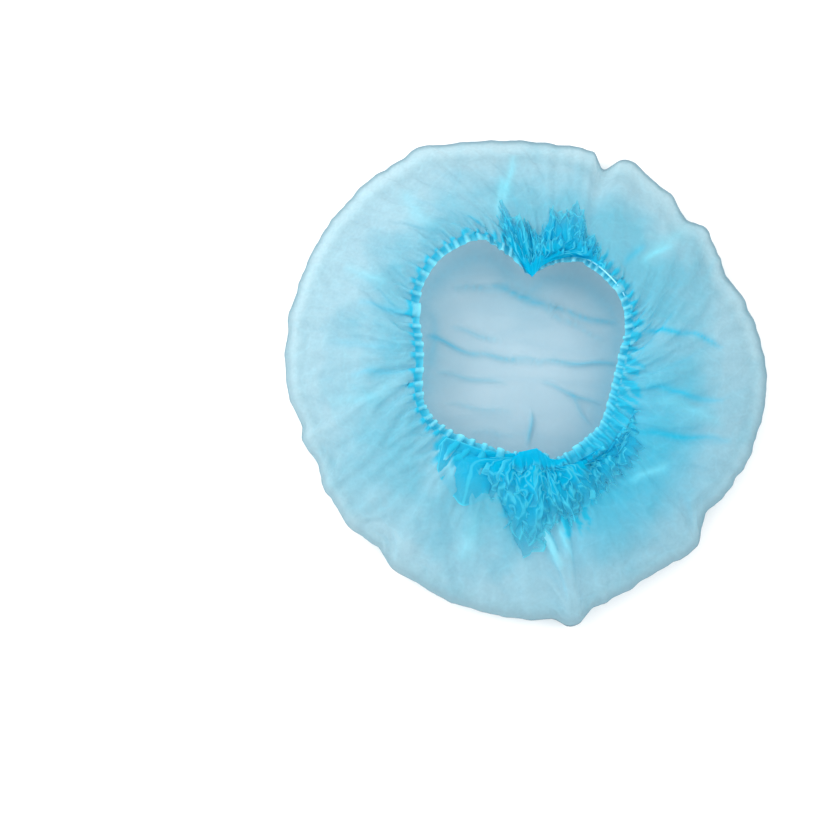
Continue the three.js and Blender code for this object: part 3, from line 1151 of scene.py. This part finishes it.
    def ring(self) -> tuple:
        """Folded cloth from the frill to the floor.

        Returns:
            The folded points, the smooth points under them, how bunched the cloth is with its painted shade,
            and the painted highlight on its crests.
        """
        turn, smooth = self._ring(4)
        skin = Skin.over(smooth)
        _, _, distance = self._lengths(smooth)
        relief = sum(
            height * ease(distance, start, full)
            * field_noise(turn, distance / length, count, self.seed + number)
            for number, (height, length, count, start, full) in enumerate(self.waves))
        relief += sum(c.relief(smooth[..., 0], smooth[..., 1]) for c in self.creases)
        rows = np.arange(len(smooth))[:, None] * 4
        relief = relief * (1.0 - ease(rows, self.brim_rows - 10, self.brim_rows))
        moved = self._settled(4, skin.normal * relief[..., None], bunching=0.45, rounds=120)
        moved = self._settled(2, finer(moved), bunching=0.8, rounds=120)
        turn, smooth = self._ring(1)
        skin = Skin.over(smooth)
        _, _, distance = self._lengths(smooth)
        relief, slide, bunch_and_shade, crest = self._gathers(np.broadcast_to(turn, distance.shape), distance)
        moved = finer(moved) + skin.normal * relief[..., None] + skin.across * slide[..., None]
        moved = self._settled(1, moved, bunching=1.0, rounds=110)
        quiet = [part.strength(turn) * ease(distance, part.start, part.full) for part in self.flatter]
        moved = moved * (1.0 - np.maximum.reduce(quiet))[..., None]
        # Painted shade in the furrows of the creases, and painted highlight on their ridges
        mark = sum(c.relief(smooth[..., 0], smooth[..., 1]) for c in self.creases)
        near = 1.0 - ease(distance, self.doubled.start, self.doubled.full)
        bunch_and_shade = bunch_and_shade + self.doubled.strength(turn) * near + self.furrow_shade * np.maximum(-mark, 0.0)
        bunch_and_shade = np.clip(bunch_and_shade, 0.0, 1.0)
        crest = np.clip(crest + self.ridge_highlight * np.maximum(mark, 0.0), 0.0, 1.0)
        return smooth + moved, smooth, bunch_and_shade, crest

    @staticmethod
    def _round(turn: np.ndarray, table: tuple) -> np.ndarray:
        """Reads a table of values round the cap.

        Args:
            turn: Places round the cap.
            table: Pairs of a place and its value.

        Returns:
            The value at each place.
        """
        places, values = zip(*table)
        return np.interp(np.mod(turn, 1.0), places, values)

    def _gather_phase(self, turn: np.ndarray, distance: np.ndarray, dense: np.ndarray) -> tuple:
        """Where on its wave each point of the gathers lies.

        Args:
            turn: Places round the cap.
            distance: Distance from the frill's edge, in millimetres.
            dense: How far out the cloth is bunched, from 0 to 1.

        Returns:
            Phase of the gathers and of the wider folds, in radians.
        """
        seed, count = self.seed, self.gathers
        warp = 0.45 * smooth_noise(turn, count // 2, seed + 2) + 0.18 * smooth_noise(turn, count, seed + 12)
        warp = warp / count
        crimp = field_noise(turn, distance / 4.2, count, seed + 9)
        crimp = crimp * (0.10 + 0.30 * dense) * ease(distance, 4.0, 10.0)
        slant = self.slant * distance * bump(turn * 360.0, *self.slanted)
        phase = 2 * np.pi * (count * (turn + warp) + crimp + slant)
        second = np.pi * count * (turn + 1.6 * warp) + 2.0 * smooth_noise(turn, count // 4, seed + 5)
        return phase, second

    def _gather_height(self, turn: np.ndarray, distance: np.ndarray, dense: np.ndarray) -> np.ndarray:
        """Height of the gathers.

        Args:
            turn: Places round the cap.
            distance: Distance from the frill's edge, in millimetres.
            dense: How far out the cloth is bunched, from 0 to 1.

        Returns:
            The height in millimetres.
        """
        seed, count = self.seed, self.gathers
        size = 1.0 + 0.3 * smooth_noise(turn, count // 2, seed + 3)
        reach = self._round(turn, self.bunched)
        fading = reach * 0.55 + 4.0 + 3.0 * smooth_noise(turn, count // 3, seed + 4)
        tie = 1.0 - 0.35 * np.exp(-((distance - self.elastic_line) / 1.4) ** 2)
        height = (self.gather_height - self.dense_loss * dense) * size * tie
        return height * np.exp(-np.maximum(distance - 4.0, 0.0) / fading)

    def _gather_tone(
            self, turn: np.ndarray, distance: np.ndarray, dense: np.ndarray, phase: np.ndarray) -> tuple:
        """How the gathers look.

        Args:
            turn: Places round the cap.
            distance: Distance from the frill's edge, in millimetres.
            dense: How far out the cloth is bunched, from 0 to 1.
            phase: Phase of the gathers.

        Returns:
            How bunched the cloth is, with painted shade in the valleys, and the painted highlight on the lit
            side and along the frill's edge.
        """
        row = phase + np.pi * ease(distance, 4.4, 5.6) + 0.12 * np.maximum(distance - 5.0, 0.0)
        lit = (0.5 + 0.5 * np.cos(row)) ** 2.0
        valley = 1.0 - lit
        uneven = 0.25 * smooth_noise(turn, self.gathers * 2, self.seed + 10)
        ragged = self._round(turn, self.bunched) * (0.75 + 0.45 * valley + uneven)
        thick = ease(1.15 - distance / ragged, 0.0, 0.45)
        # Bunched cloth near the elastic, darker in the valleys: partly more layers, partly painted shade
        bunch_and_shade = thick * (0.30 + 0.45 * dense + (0.70 - 0.45 * dense) * valley)
        bunch_and_shade = np.maximum(bunch_and_shade, self._round(turn, self.brim_tone) * np.exp(-distance / 75.0))
        # Painted highlight on the lit side of the gathers, and a light line along the frill's edge
        crest = ease(lit, 0.55, 1.0) * ease(1.1 - distance / ragged, 0.0, 0.5) * (0.38 - 0.22 * dense)
        peak = (0.5 + 0.5 * np.cos(phase)) ** 2.0
        return bunch_and_shade, np.maximum(crest, (0.45 + 0.30 * peak) * np.exp(-(distance / 2.3) ** 2))

    def _gathers(self, turn: np.ndarray, distance: np.ndarray) -> tuple:
        """Gathers that the elastic draws the cloth into.

        Args:
            turn: Places round the cap.
            distance: Distance from the frill's edge, in millimetres.

        Returns:
            Relief and slide in millimetres, how bunched the cloth is with its painted shade, and its painted
            highlight.
        """
        dense = ease(self._round(turn, self.bunched), 10.0, 30.0)
        phase, second = self._gather_phase(turn, distance, dense)
        height = self._gather_height(turn, distance, dense)
        wide = self.second_height * ease(distance, 5, 14) * (1.0 - ease(distance, 14, 42))
        wave = 2.0 * (0.5 + 0.5 * np.cos(phase)) ** 2.0 - 0.75
        ruffle = self.ruffle_height * np.cos(2 * phase + 1.0) * (1.0 - ease(distance, 1.0, 5.0))
        relief = height * wave + ruffle + wide * np.cos(second)
        lean = 0.6 * smooth_noise(turn, self.gathers // 3, self.seed + 6)
        slide = height * ((0.45 + 0.35 * dense) * np.sin(2 * phase) + lean * wave)
        speck = np.random.default_rng(self.seed + 8).normal(0.0, self.speck_height, turn.shape)
        relief = relief + speck * ease(distance, 6, 20) * (1.0 - ease(distance, 60, 95))
        return relief, slide, *self._gather_tone(turn, distance, dense, phase)

    @staticmethod
    def _steepness(folded: np.ndarray, smooth: np.ndarray) -> np.ndarray:
        """How much cloth one looks through where it stands up from the smooth form.

        Args:
            folded: The folded points.
            smooth: The smooth points under them.

        Returns:
            0 where the cloth lies along the form, and more where it stands up.
        """
        upright = np.abs(np.sum(Skin.over(folded).normal * Skin.over(smooth).normal, axis=2))
        steep = 1.0 / np.clip(upright, 0.2, 1.0)
        return 0.5 * steep + 0.25 * (np.roll(steep, 1, axis=1) + np.roll(steep, -1, axis=1)) - 1.0

    def _crown(self, table_edge: np.ndarray) -> tuple:
        """Crown that lies on the table.

        Args:
            table_edge: Points where the roll meets the table.

        Returns:
            The points, and how shaded they look.
        """
        share = 1.0 - np.arange(1, self.crown_rows + 1) / self.crown_rows
        middle = np.array([*self.form.centring, 0.0])
        crown = middle + (table_edge - middle) * share[:, None, None]
        x, y = crown[..., 0], crown[..., 1]
        lift = sum(c.relief(x, y) for c in self.wrinkles)
        crown[..., 2] = FLOOR_GAP + lift * (1.0 - ease(share, 0.9, 1.0))[:, None]
        rim = self.form.rim(np.arange(0.0, 1.0, 0.01))[:, :2] + np.array(self.form.centring)
        inside = np.min(np.hypot(x[..., None] - rim[:, 0], y[..., None] - rim[:, 1]), axis=2)
        return crown, np.clip(0.46 * np.exp(-inside / 11.0) + 0.36 * lift, 0.0, 0.8)

    def points(self) -> tuple:
        """Points of the whole sheet.

        Returns:
            The points, and the values that its finish reads, by name.
        """
        ring, smooth, bunch_and_shade, crest = self.ring()
        steep = self._steepness(ring, smooth)
        rows = np.broadcast_to(np.arange(len(ring))[:, None], steep.shape)
        last = self.brim_rows + self.roll_rows
        edge = np.exp(-((rows - self.brim_rows) / self.edge_half) ** 2)
        # Painted shade on the cloth that drops to the outline, weaker on the roll below it
        side = ease(rows, self.brim_rows - 11, self.brim_rows - 5)
        side = side * (1.0 - 0.5 * ease(rows, self.brim_rows + 2, last))
        crown, shade = self._crown(ring[-1])
        none, ones = np.zeros(crown.shape[:2]), np.ones(crown.shape[:2])
        # Where the cloth lies on the table: finer unevenness fades, and the painted crown shade applies, less
        # near the rim
        calm_and_shaded = np.concatenate([ease(rows, self.brim_rows + 4, last), ones - 0.85 * shade])
        turn = np.arange(rows.shape[1]) / rows.shape[1]
        # Paler outer brim, more in one patch, partly painted sheen
        pale = self.paler.strength(turn) * ease(rows, self.paler.start, self.paler.full)
        pale = ease(rows, 22, self.brim_rows - 12) + pale
        # The crown's painted shade, darker near the rim and on its wrinkles, goes into the bunched-cloth mark
        ends = {"bunch_and_shade": (bunch_and_shade, shade), "pale": (pale, none), "steep": (steep, none), "crest": (crest, none),
                "edge": (edge, none), "side": (side, none)}
        values = {"calm_and_shaded": calm_and_shaded, **{name: np.concatenate(pair) for name, pair in ends.items()}}
        return np.concatenate([ring, crown]), values

    def build(self) -> bpy.types.Object:
        """Builds and dresses the sheet.

        Returns:
            The new piece.
        """
        points, values = self.points()
        piece = grid_piece("cap_cloth", points, True, values)
        piece.data.materials.append(NonwovenFinish().material())
        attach(piece, BODY)
        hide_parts("cap_sheet")
        return piece


@dataclass(frozen=True)
class Fan:
    """One layer of folded cloth that spreads from a bonded end over the brim.

    Args:
        ahead: How far the fan goes round the cap past its notch, from 0 to 1.
        behind: How far it goes back before the notch.
        root: Share of that width which the layer has at the frill.
        reach: How far out it goes, as (share of the width from the far end, place along the brim).
        ruffle: Height of the waves of its free edge, as (share of the width, millimetres).
        skip: How much farther out the layer's inner edge lies at its far end, as a place along the brim.
        waves: Number of waves along the free edge.
        folds: Number of soft folds that run out from the notch.
        lift: Height of the layer over the brim, in millimetres.
        seed: Seed of the random wandering.
    """

    ahead: float
    behind: float
    root: float
    reach: tuple
    ruffle: tuple
    waves: int
    folds: int
    lift: float
    seed: int
    skip: float = 0.0


@dataclass(frozen=True)
class FanGrid:
    """Places of one fan on the brim, before it is folded.

    Args:
        fan: The fan.
        share: Places across the fan, from 0 at its far end to 1.
        out: Places from the notch, 0, to the free edge, 1.
        base: Points of the brim under the fan.
        across: Direction across the fan at each point.
        down: Direction out over the brim.
        normal: Direction off the brim.
        width: Width of each cell, in millimetres.
        length: Distance of each point from the notch, in millimetres.
    """

    fan: Fan
    share: np.ndarray
    out: np.ndarray
    base: np.ndarray
    across: np.ndarray
    down: np.ndarray
    normal: np.ndarray
    width: np.ndarray
    length: np.ndarray

    @classmethod
    def on(cls, form: CapForm, notch: Notch, fan: Fan, rows: int, columns: int) -> "FanGrid":
        """Lays a fan out on the brim.

        Args:
            form: Smooth form of the cap.
            notch: Notch that the fan starts from.
            fan: The fan.
            rows: Rows of points from the notch to the free edge.
            columns: Columns of points across the fan.

        Returns:
            The places of the fan.
        """
        share = np.linspace(0.0, 1.0, columns)[None, :]
        out = np.linspace(0.0, 1.0, rows)[:, None]
        spread = fan.root + (1.0 - fan.root) * ease(out, 0.0, 0.45)
        turn = notch.value + (fan.ahead - (fan.ahead + fan.behind) * share) * spread
        uneven = field_noise(share * 0.999, share * 0.0 + 3.0, fan.waves // 2, fan.seed + 1)
        reach = np.interp(share, *zip(*fan.reach)) * (1.0 + 0.24 * uneven)
        start = 0.012 + fan.skip * ease(0.38 - share, 0.0, 0.25)
        along = start + np.maximum(reach - start, 0.03) * out
        base = form.brim(turn, along)
        step = 0.002
        across = unit(form.brim(turn - step, along) - form.brim(turn + step, along))
        down = unit(form.brim(turn, along + step) - form.brim(turn, along))
        normal = unit(np.cross(across, down))
        normal = np.where(normal[..., 2:] < 0.0, -normal, normal)
        width = np.linalg.norm(np.diff(base, axis=1), axis=2)
        steps = np.cumsum(np.linalg.norm(np.diff(base, axis=0), axis=2), axis=0)
        length = np.concatenate([np.zeros((1, columns)), steps])
        return cls(fan, share, out, base, across, down, normal, width, length)

    def wander(self, size: float, cells: int, seed: int) -> np.ndarray:
        """Random field over the fan.

        Args:
            size: Size of its waves along the folds, in millimetres.
            cells: Number of random values across the fan.
            seed: Seed, counted from the fan's own.

        Returns:
            Values from about -1 to 1.
        """
        return field_noise(self.share * 0.999, self.length / size, cells, self.fan.seed + seed)


@dataclass(frozen=True)
class FanFolds:
    """How one fan is folded.

    Args:
        points: The folded points.
        fold: Wave of the soft folds, from -1 to 1.
        level: Random field that is 0 along the small curly folds.
        curly: How strong these folds are.
        strength: How ruffled the layer is, from 0 to 1.
    """

    points: np.ndarray
    fold: np.ndarray
    level: np.ndarray
    curly: np.ndarray
    strength: np.ndarray


@dataclass
class BondedEnd:
    """Folded layers of cloth at one end of the cap, pinned together at the notch.

    Args:
        form: Smooth form of the cap.
        notch: Notch that the layers start from.
        fans: The layers, from the lowest up.
        flat: Flat size of each layer, as width and length in metres; not used.
        columns_per_wave: Columns of points to each wave of a free edge.
        rows: Rows of points from the notch to the free edge.
        clearance: Height of the lowest layer over the smooth form, in millimetres.
        fold_height: Height of the soft folds that run out from the notch.
        curl_height: Height of the small curly folds.
        curl_half: Half the width of a curly fold, in steps of its random field.
        line_half: The same of the painted highlight line on it.
        hem_half: Half the width of the painted highlight line along a free edge, in millimetres.
    """

    form: CapForm
    notch: Notch
    fans: tuple
    flat: tuple
    columns_per_wave: int = 16
    rows: int = 76
    clearance: float = 1.5
    fold_height: float = 1.3
    curl_height: float = 1.2
    curl_half: float = 0.25
    line_half: float = 0.11
    hem_half: float = 1.3

    def _folds(self, grid: FanGrid) -> FanFolds:
        """Folds one fan.

        Args:
            grid: Places of the fan.

        Returns:
            The folded fan.
        """
        fan, share, length, wander = grid.fan, grid.share, grid.length, grid.wander
        fold = np.cos(2 * np.pi * (fan.folds * share + 0.5 * wander(18.0, fan.folds, 2)))
        rise = self.fold_height * fold * ease(length, 3.0, 14.0)
        phase = 2 * np.pi * (fan.waves * share + 0.30 * wander(9.0, fan.waves, 3) * ease(length, 3.0, 12.0))
        wave = np.cos(phase)
        height = np.interp(share, *zip(*fan.ruffle)) * (1.0 + 0.45 * wander(40.0, fan.waves, 4))
        strength = np.clip(height / 2.0, 0.0, 1.0)
        loose = ease(grid.out, 0.40, 1.0)
        rise += height * (0.08 + 0.06 * ease(length, 2.0, 10.0) + 0.14 * loose) * wave
        level = wander(8.0, fan.waves, 5) + 0.45 * wander(3.6, fan.waves * 2, 9) + 0.25 * wave
        curly = ease(length, 4.0, 10.0) * strength
        rise += self.curl_height * np.exp(-(level / self.curl_half) ** 2) * curly
        sway = -0.12 * np.sin(2 * phase) * (0.4 + 0.6 * loose) + 0.30 * wander(7.0, fan.waves, 6) * loose
        slide = np.mean(grid.width, axis=1)[:, None] * self.columns_per_wave * strength * sway
        curl = 0.75 * height * loose * (wave + 0.6 * wander(6.0, fan.waves * 2, 7))
        sink = 1.6 * (1.0 - np.sin(np.pi * np.clip(share, 0.0, 1.0)) ** 0.4) + 1.4 * ease(grid.out, 0.7, 1.0)
        points = (grid.base + grid.normal * (fan.lift + self.clearance + rise - sink)[..., None]
                  + grid.across * slide[..., None] + grid.down * curl[..., None])
        return FanFolds(points, fold, level, curly, strength)

    def _looks(self, grid: FanGrid, folds: FanFolds) -> dict:
        """Values that the finish of one fan reads.

        Args:
            grid: Places of the fan.
            folds: The folded fan.

        Returns:
            The values, by name.
        """
        fan, share, out, length = grid.fan, grid.share, grid.out, grid.length
        hem = np.exp(-((1.0 - out) * length[-1:] / self.hem_half) ** 2)
        hem = hem * (0.75 + 0.4 * grid.wander(30.0, fan.waves, 10))
        aside = np.minimum(share, 1.0 - share) * np.sum(grid.width, axis=1)[:, None]
        hem = np.maximum(hem, np.exp(-(aside / self.hem_half) ** 2) * ease(length, 6.0, 14.0))
        line = np.exp(-(folds.level / self.line_half) ** 2) * folds.curly
        ray = ease(folds.fold, 0.94, 1.0) * 0.45 * ease(length, 4.0, 12.0)
        # Painted highlight on the free edges, the curly folds and the rays of the soft folds, partly the
        # denser cloth there
        crest = np.clip(np.maximum(np.maximum(hem * 0.75, line * 0.75), ray), 0.0, 1.0)
        bunch_and_shade = 1.0 - 0.35 * ease(length, 12.0, 46.0) - 0.55 * folds.strength * ease(out, 0.60, 1.0)
        bunch_and_shade = bunch_and_shade + 0.12 * grid.wander(12.0, fan.folds, 8)
        return {**{name: np.zeros(crest.shape) for name in MARKS}, "crest": crest, "bunch_and_shade": bunch_and_shade}

    def build(self) -> list:
        """Builds and dresses the fans.

        Returns:
            The new pieces, from the lowest layer up.
        """
        name = self.notch.name.lower()
        loose = linear(84, 191, 215)
        # The fans' highlight colour is painted highlight on their folds
        finish = NonwovenFinish(
            name=f"bonded_pleats_{name}", thin=loose, pale=loose, bunched=linear(0, 196, 232),
            crest=linear(98, 228, 242), cover=0.30, bunched_cover=0.98, glow=0.5, sheen=0.0,
            gloss=0.04).material()
        pieces = []
        for number, fan in enumerate(self.fans):
            grid = FanGrid.on(self.form, self.notch, fan, self.rows, fan.waves * self.columns_per_wave + 1)
            folds = self._folds(grid)
            piece = grid_piece(f"pleats_{name}_{number + 1}", folds.points, False, self._looks(grid, folds))
            piece.data.materials.append(finish)
            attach(piece, BODY)
            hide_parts(f"bonded_end_{name}")
            pieces.append(piece)
        return pieces


# Layers of the back and of the front end, from the lowest up
BACK_FANS = (
    Fan(ahead=0.045, behind=0.105, root=0.22,
        reach=((0, 0.15), (0.15, 0.33), (0.3, 0.33), (0.45, 0.21), (0.6, 0.27), (0.71, 0.34), (0.82, 0.24),
               (1, 0.12)),
        ruffle=((0, 2.2), (1, 2.4)), waves=19, folds=5, lift=0.4, seed=31),
    Fan(ahead=0.040, behind=0.110, root=0.30,
        reach=((0, 0.14), (0.2, 0.26), (0.42, 0.18), (0.62, 0.25), (0.78, 0.20), (1, 0.10)),
        ruffle=((0, 2.0), (1, 2.6)), waves=17, folds=4, lift=1.8, seed=41),
    Fan(ahead=0.028, behind=0.125, root=0.45,
        reach=((0, 0.12), (0.2, 0.18), (0.45, 0.13), (0.7, 0.15), (1, 0.07)),
        ruffle=((0, 2.0), (1, 2.2)), waves=17, folds=3, lift=3.0, seed=47),
    Fan(ahead=0.016, behind=0.060, root=0.60,
        reach=((0, 0.07), (0.4, 0.10), (0.7, 0.08), (1, 0.05)),
        ruffle=((0, 1.6), (1, 1.8)), waves=8, folds=2, lift=4.0, seed=49),
)
FRONT_FANS = (
    Fan(ahead=0.160, behind=0.108, root=0.30, skip=0.12,
        reach=((0, 0.14), (0.12, 0.25), (0.28, 0.27), (0.42, 0.30), (0.5, 0.39), (0.55, 0.33), (0.61, 0.45),
               (0.66, 0.42), (0.72, 0.29), (0.95, 0.25), (1, 0.16)),
        ruffle=((0, 2.4), (0.74, 2.6), (0.79, 0.3), (1, 0.2)), waves=24, folds=7, lift=0.4, seed=51),
    Fan(ahead=0.135, behind=0.055, root=0.35, skip=0.10,
        reach=((0, 0.12), (0.2, 0.21), (0.42, 0.26), (0.58, 0.33), (0.75, 0.37), (0.88, 0.28), (1, 0.16)),
        ruffle=((0, 2.6), (0.8, 2.4), (1, 1.8)), waves=18, folds=5, lift=1.8, seed=61),
    Fan(ahead=0.100, behind=0.040, root=0.50, skip=0.07,
        reach=((0, 0.08), (0.25, 0.15), (0.5, 0.20), (0.78, 0.26), (1, 0.14)),
        ruffle=((0, 2.2), (1, 2.2)), waves=13, folds=3, lift=3.0, seed=67),
    Fan(ahead=0.050, behind=0.030, root=0.75,
        reach=((0, 0.05), (0.5, 0.08), (0.8, 0.12), (1, 0.08)),
        ruffle=((0, 1.6), (1, 1.8)), waves=8, folds=2, lift=4.0, seed=69),
)

# Their flat sizes in metres, measured along the layers
BACK_FLAT = ((0.075, 0.045), (0.065, 0.035), (0.055, 0.025), (0.025, 0.012))
FRONT_FLAT = ((0.13, 0.05), (0.095, 0.045), (0.065, 0.03), (0.035, 0.012))


@dataclass
class ElasticThread:
    """Elastic thread on the gathers of one side, in millimetres.

    Args:
        form: Smooth form of the cap.
        side: Side that the thread runs along.
        ends: Places of its two ends, from the back notch, 0, to the front notch, 0.5.
        steps: Points along the thread.
        line: Distance of the thread from the frill's edge.
        height: Height of the thread over the smooth form, where the gathers hide it.
        bared_height: The same where it shows.
        bared: Middle of the stretch that shows, and half its length, as places round the cap.
        width: Width of the thread.
        thickness: Its thickness.
        section: Points round its section.
    """

    form: CapForm
    side: Side
    ends: tuple = (0.006, 0.494)
    steps: int = 260
    line: float = 3.6
    height: float = -4.2
    bared_height: float = 1.9
    bared: tuple = (0.87, 0.085)
    width: float = 0.9
    thickness: float = 0.7
    section: int = 10

    def build(self) -> bpy.types.Object:
        """Builds and dresses the thread.

        Returns:
            The new piece.
        """
        share = np.linspace(*self.ends, self.steps)
        turn = share if self.side is Side.LEFT else 1.0 - share
        reach = self.form.brim(turn, np.ones_like(turn)) - self.form.brim(turn, np.zeros_like(turn))
        width = np.linalg.norm(reach, axis=1)
        along = self.line / (3 * self.form.puff_reach * width)
        step = 0.004
        middle = self.form.brim(turn, along)
        out = self.form.brim(turn, along + step) - self.form.brim(turn, along)
        across = self.form.brim(turn + step, along) - self.form.brim(turn - step, along)
        normal = np.cross(out, across)
        out /= np.linalg.norm(out, axis=1, keepdims=True)
        normal /= np.linalg.norm(normal, axis=1, keepdims=True)
        place, half = self.bared
        shown = bump(turn * 360.0, place * 360.0, half * 360.0)
        middle = middle + normal * (self.height + (self.bared_height - self.height) * shown)[:, None]
        turns = np.arange(self.section) / self.section * 2 * np.pi
        rows = [middle + out * (self.width / 2 * math.cos(t)) + normal * (self.thickness / 2 * math.sin(t))
                for t in turns]
        points = np.stack(rows, axis=1)
        piece = grid_piece(f"elastic_thread_{self.side.value}", points, True, {})
        piece.data.materials.append(ElasticFinish().material())
        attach(piece, BODY)
        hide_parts(f"elastic_{self.side.value}")
        return piece


@dataclass
class Studio:
    """White table, soft light and the camera.

    Args:
        floor_size: Side of the table top, in metres.
        camera_distance: Distance from the camera to where it aims.
        elevation: Height angle of the camera, in degrees.
        lens: Focal length, in millimetres.
        sensor: Width of the camera's picture plane, in millimetres.
        aim: Point that the camera aims at.
        lights: Soft square lights, as (name, place in metres, side in metres, power in watts).
        sky: Strength of the even white light from all sides.
    """

    floor_size: float = 8.0
    camera_distance: float = 1.0
    elevation: float = 78.0
    lens: float = 70.0
    sensor: float = 36.0
    aim: tuple = (-0.0691, -0.0222, 0.0)
    lights: tuple = (
        ("key_light", (-1.2, 0.55, 1.0), 1.4, 18.0),
        ("fill_light", (1.2, -0.8, 1.5), 1.6, 5.0),
    )
    sky: float = 1.23

    def build(self) -> None:
        """Builds the table, the light and the camera."""
        self._table()
        for light in self.lights:
            self._light(*light)
        world = bpy.data.worlds.new("studio")
        bpy.context.scene.world = world
        world.use_nodes = True
        background = world.node_tree.nodes["Background"]
        background.inputs["Color"].default_value = (1.0, 1.0, 1.0, 1.0)
        background.inputs["Strength"].default_value = self.sky
        bpy.context.scene.view_settings.view_transform = "Standard"
        self._camera()

    def _table(self) -> None:
        """Adds the table top."""
        bpy.ops.object.select_all(action="DESELECT")
        bpy.ops.mesh.primitive_plane_add(size=self.floor_size)
        floor = bpy.context.object
        floor.name = "table_top"
        floor.data.materials.append(FloorFinish().material())

    def _light(self, name: str, place: tuple, size: float, power: float) -> None:
        """Adds one soft square light that faces the cap.

        Args:
            name: Name of the light.
            place: Where it stands, in metres.
            size: Side of the square.
            power: Power in watts.
        """
        bpy.ops.object.light_add(type="AREA", location=place)
        lamp = bpy.context.object
        lamp.name = name
        lamp.data.size = size
        lamp.data.energy = power
        lamp.rotation_euler = (-Vector(place)).to_track_quat("-Z", "Y").to_euler()

    def _camera(self) -> None:
        """Adds the camera at the height and angle from which the cap is seen."""
        tilt = math.radians(self.elevation)
        back = Vector((0.0, -math.cos(tilt), math.sin(tilt)))
        bpy.ops.object.camera_add(location=Vector(self.aim) + back * self.camera_distance)
        camera = bpy.context.object
        camera.rotation_euler = (-back).to_track_quat("-Z", "Y").to_euler()
        camera.data.lens = self.lens
        camera.data.sensor_width = self.sensor
        bpy.context.scene.camera = camera


def main() -> None:
    """Builds the hairnet and its studio."""
    logging.basicConfig(level=logging.INFO, format="%(message)s")
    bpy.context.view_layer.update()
    Studio().build()
    form = CapForm()
    pieces = [CapCloth(form).build()]
    pieces += [ElasticThread(form, side).build() for side in Side]
    for notch, fans, flat in ((Notch.BACK, BACK_FANS, BACK_FLAT), (Notch.FRONT, FRONT_FANS, FRONT_FLAT)):
        pieces += BondedEnd(form, notch, fans, flat).build()
    for piece in pieces:
        LOG.info("%s: %d faces", piece.name, len(piece.data.polygons))


if __name__ == "__main__":
    main()
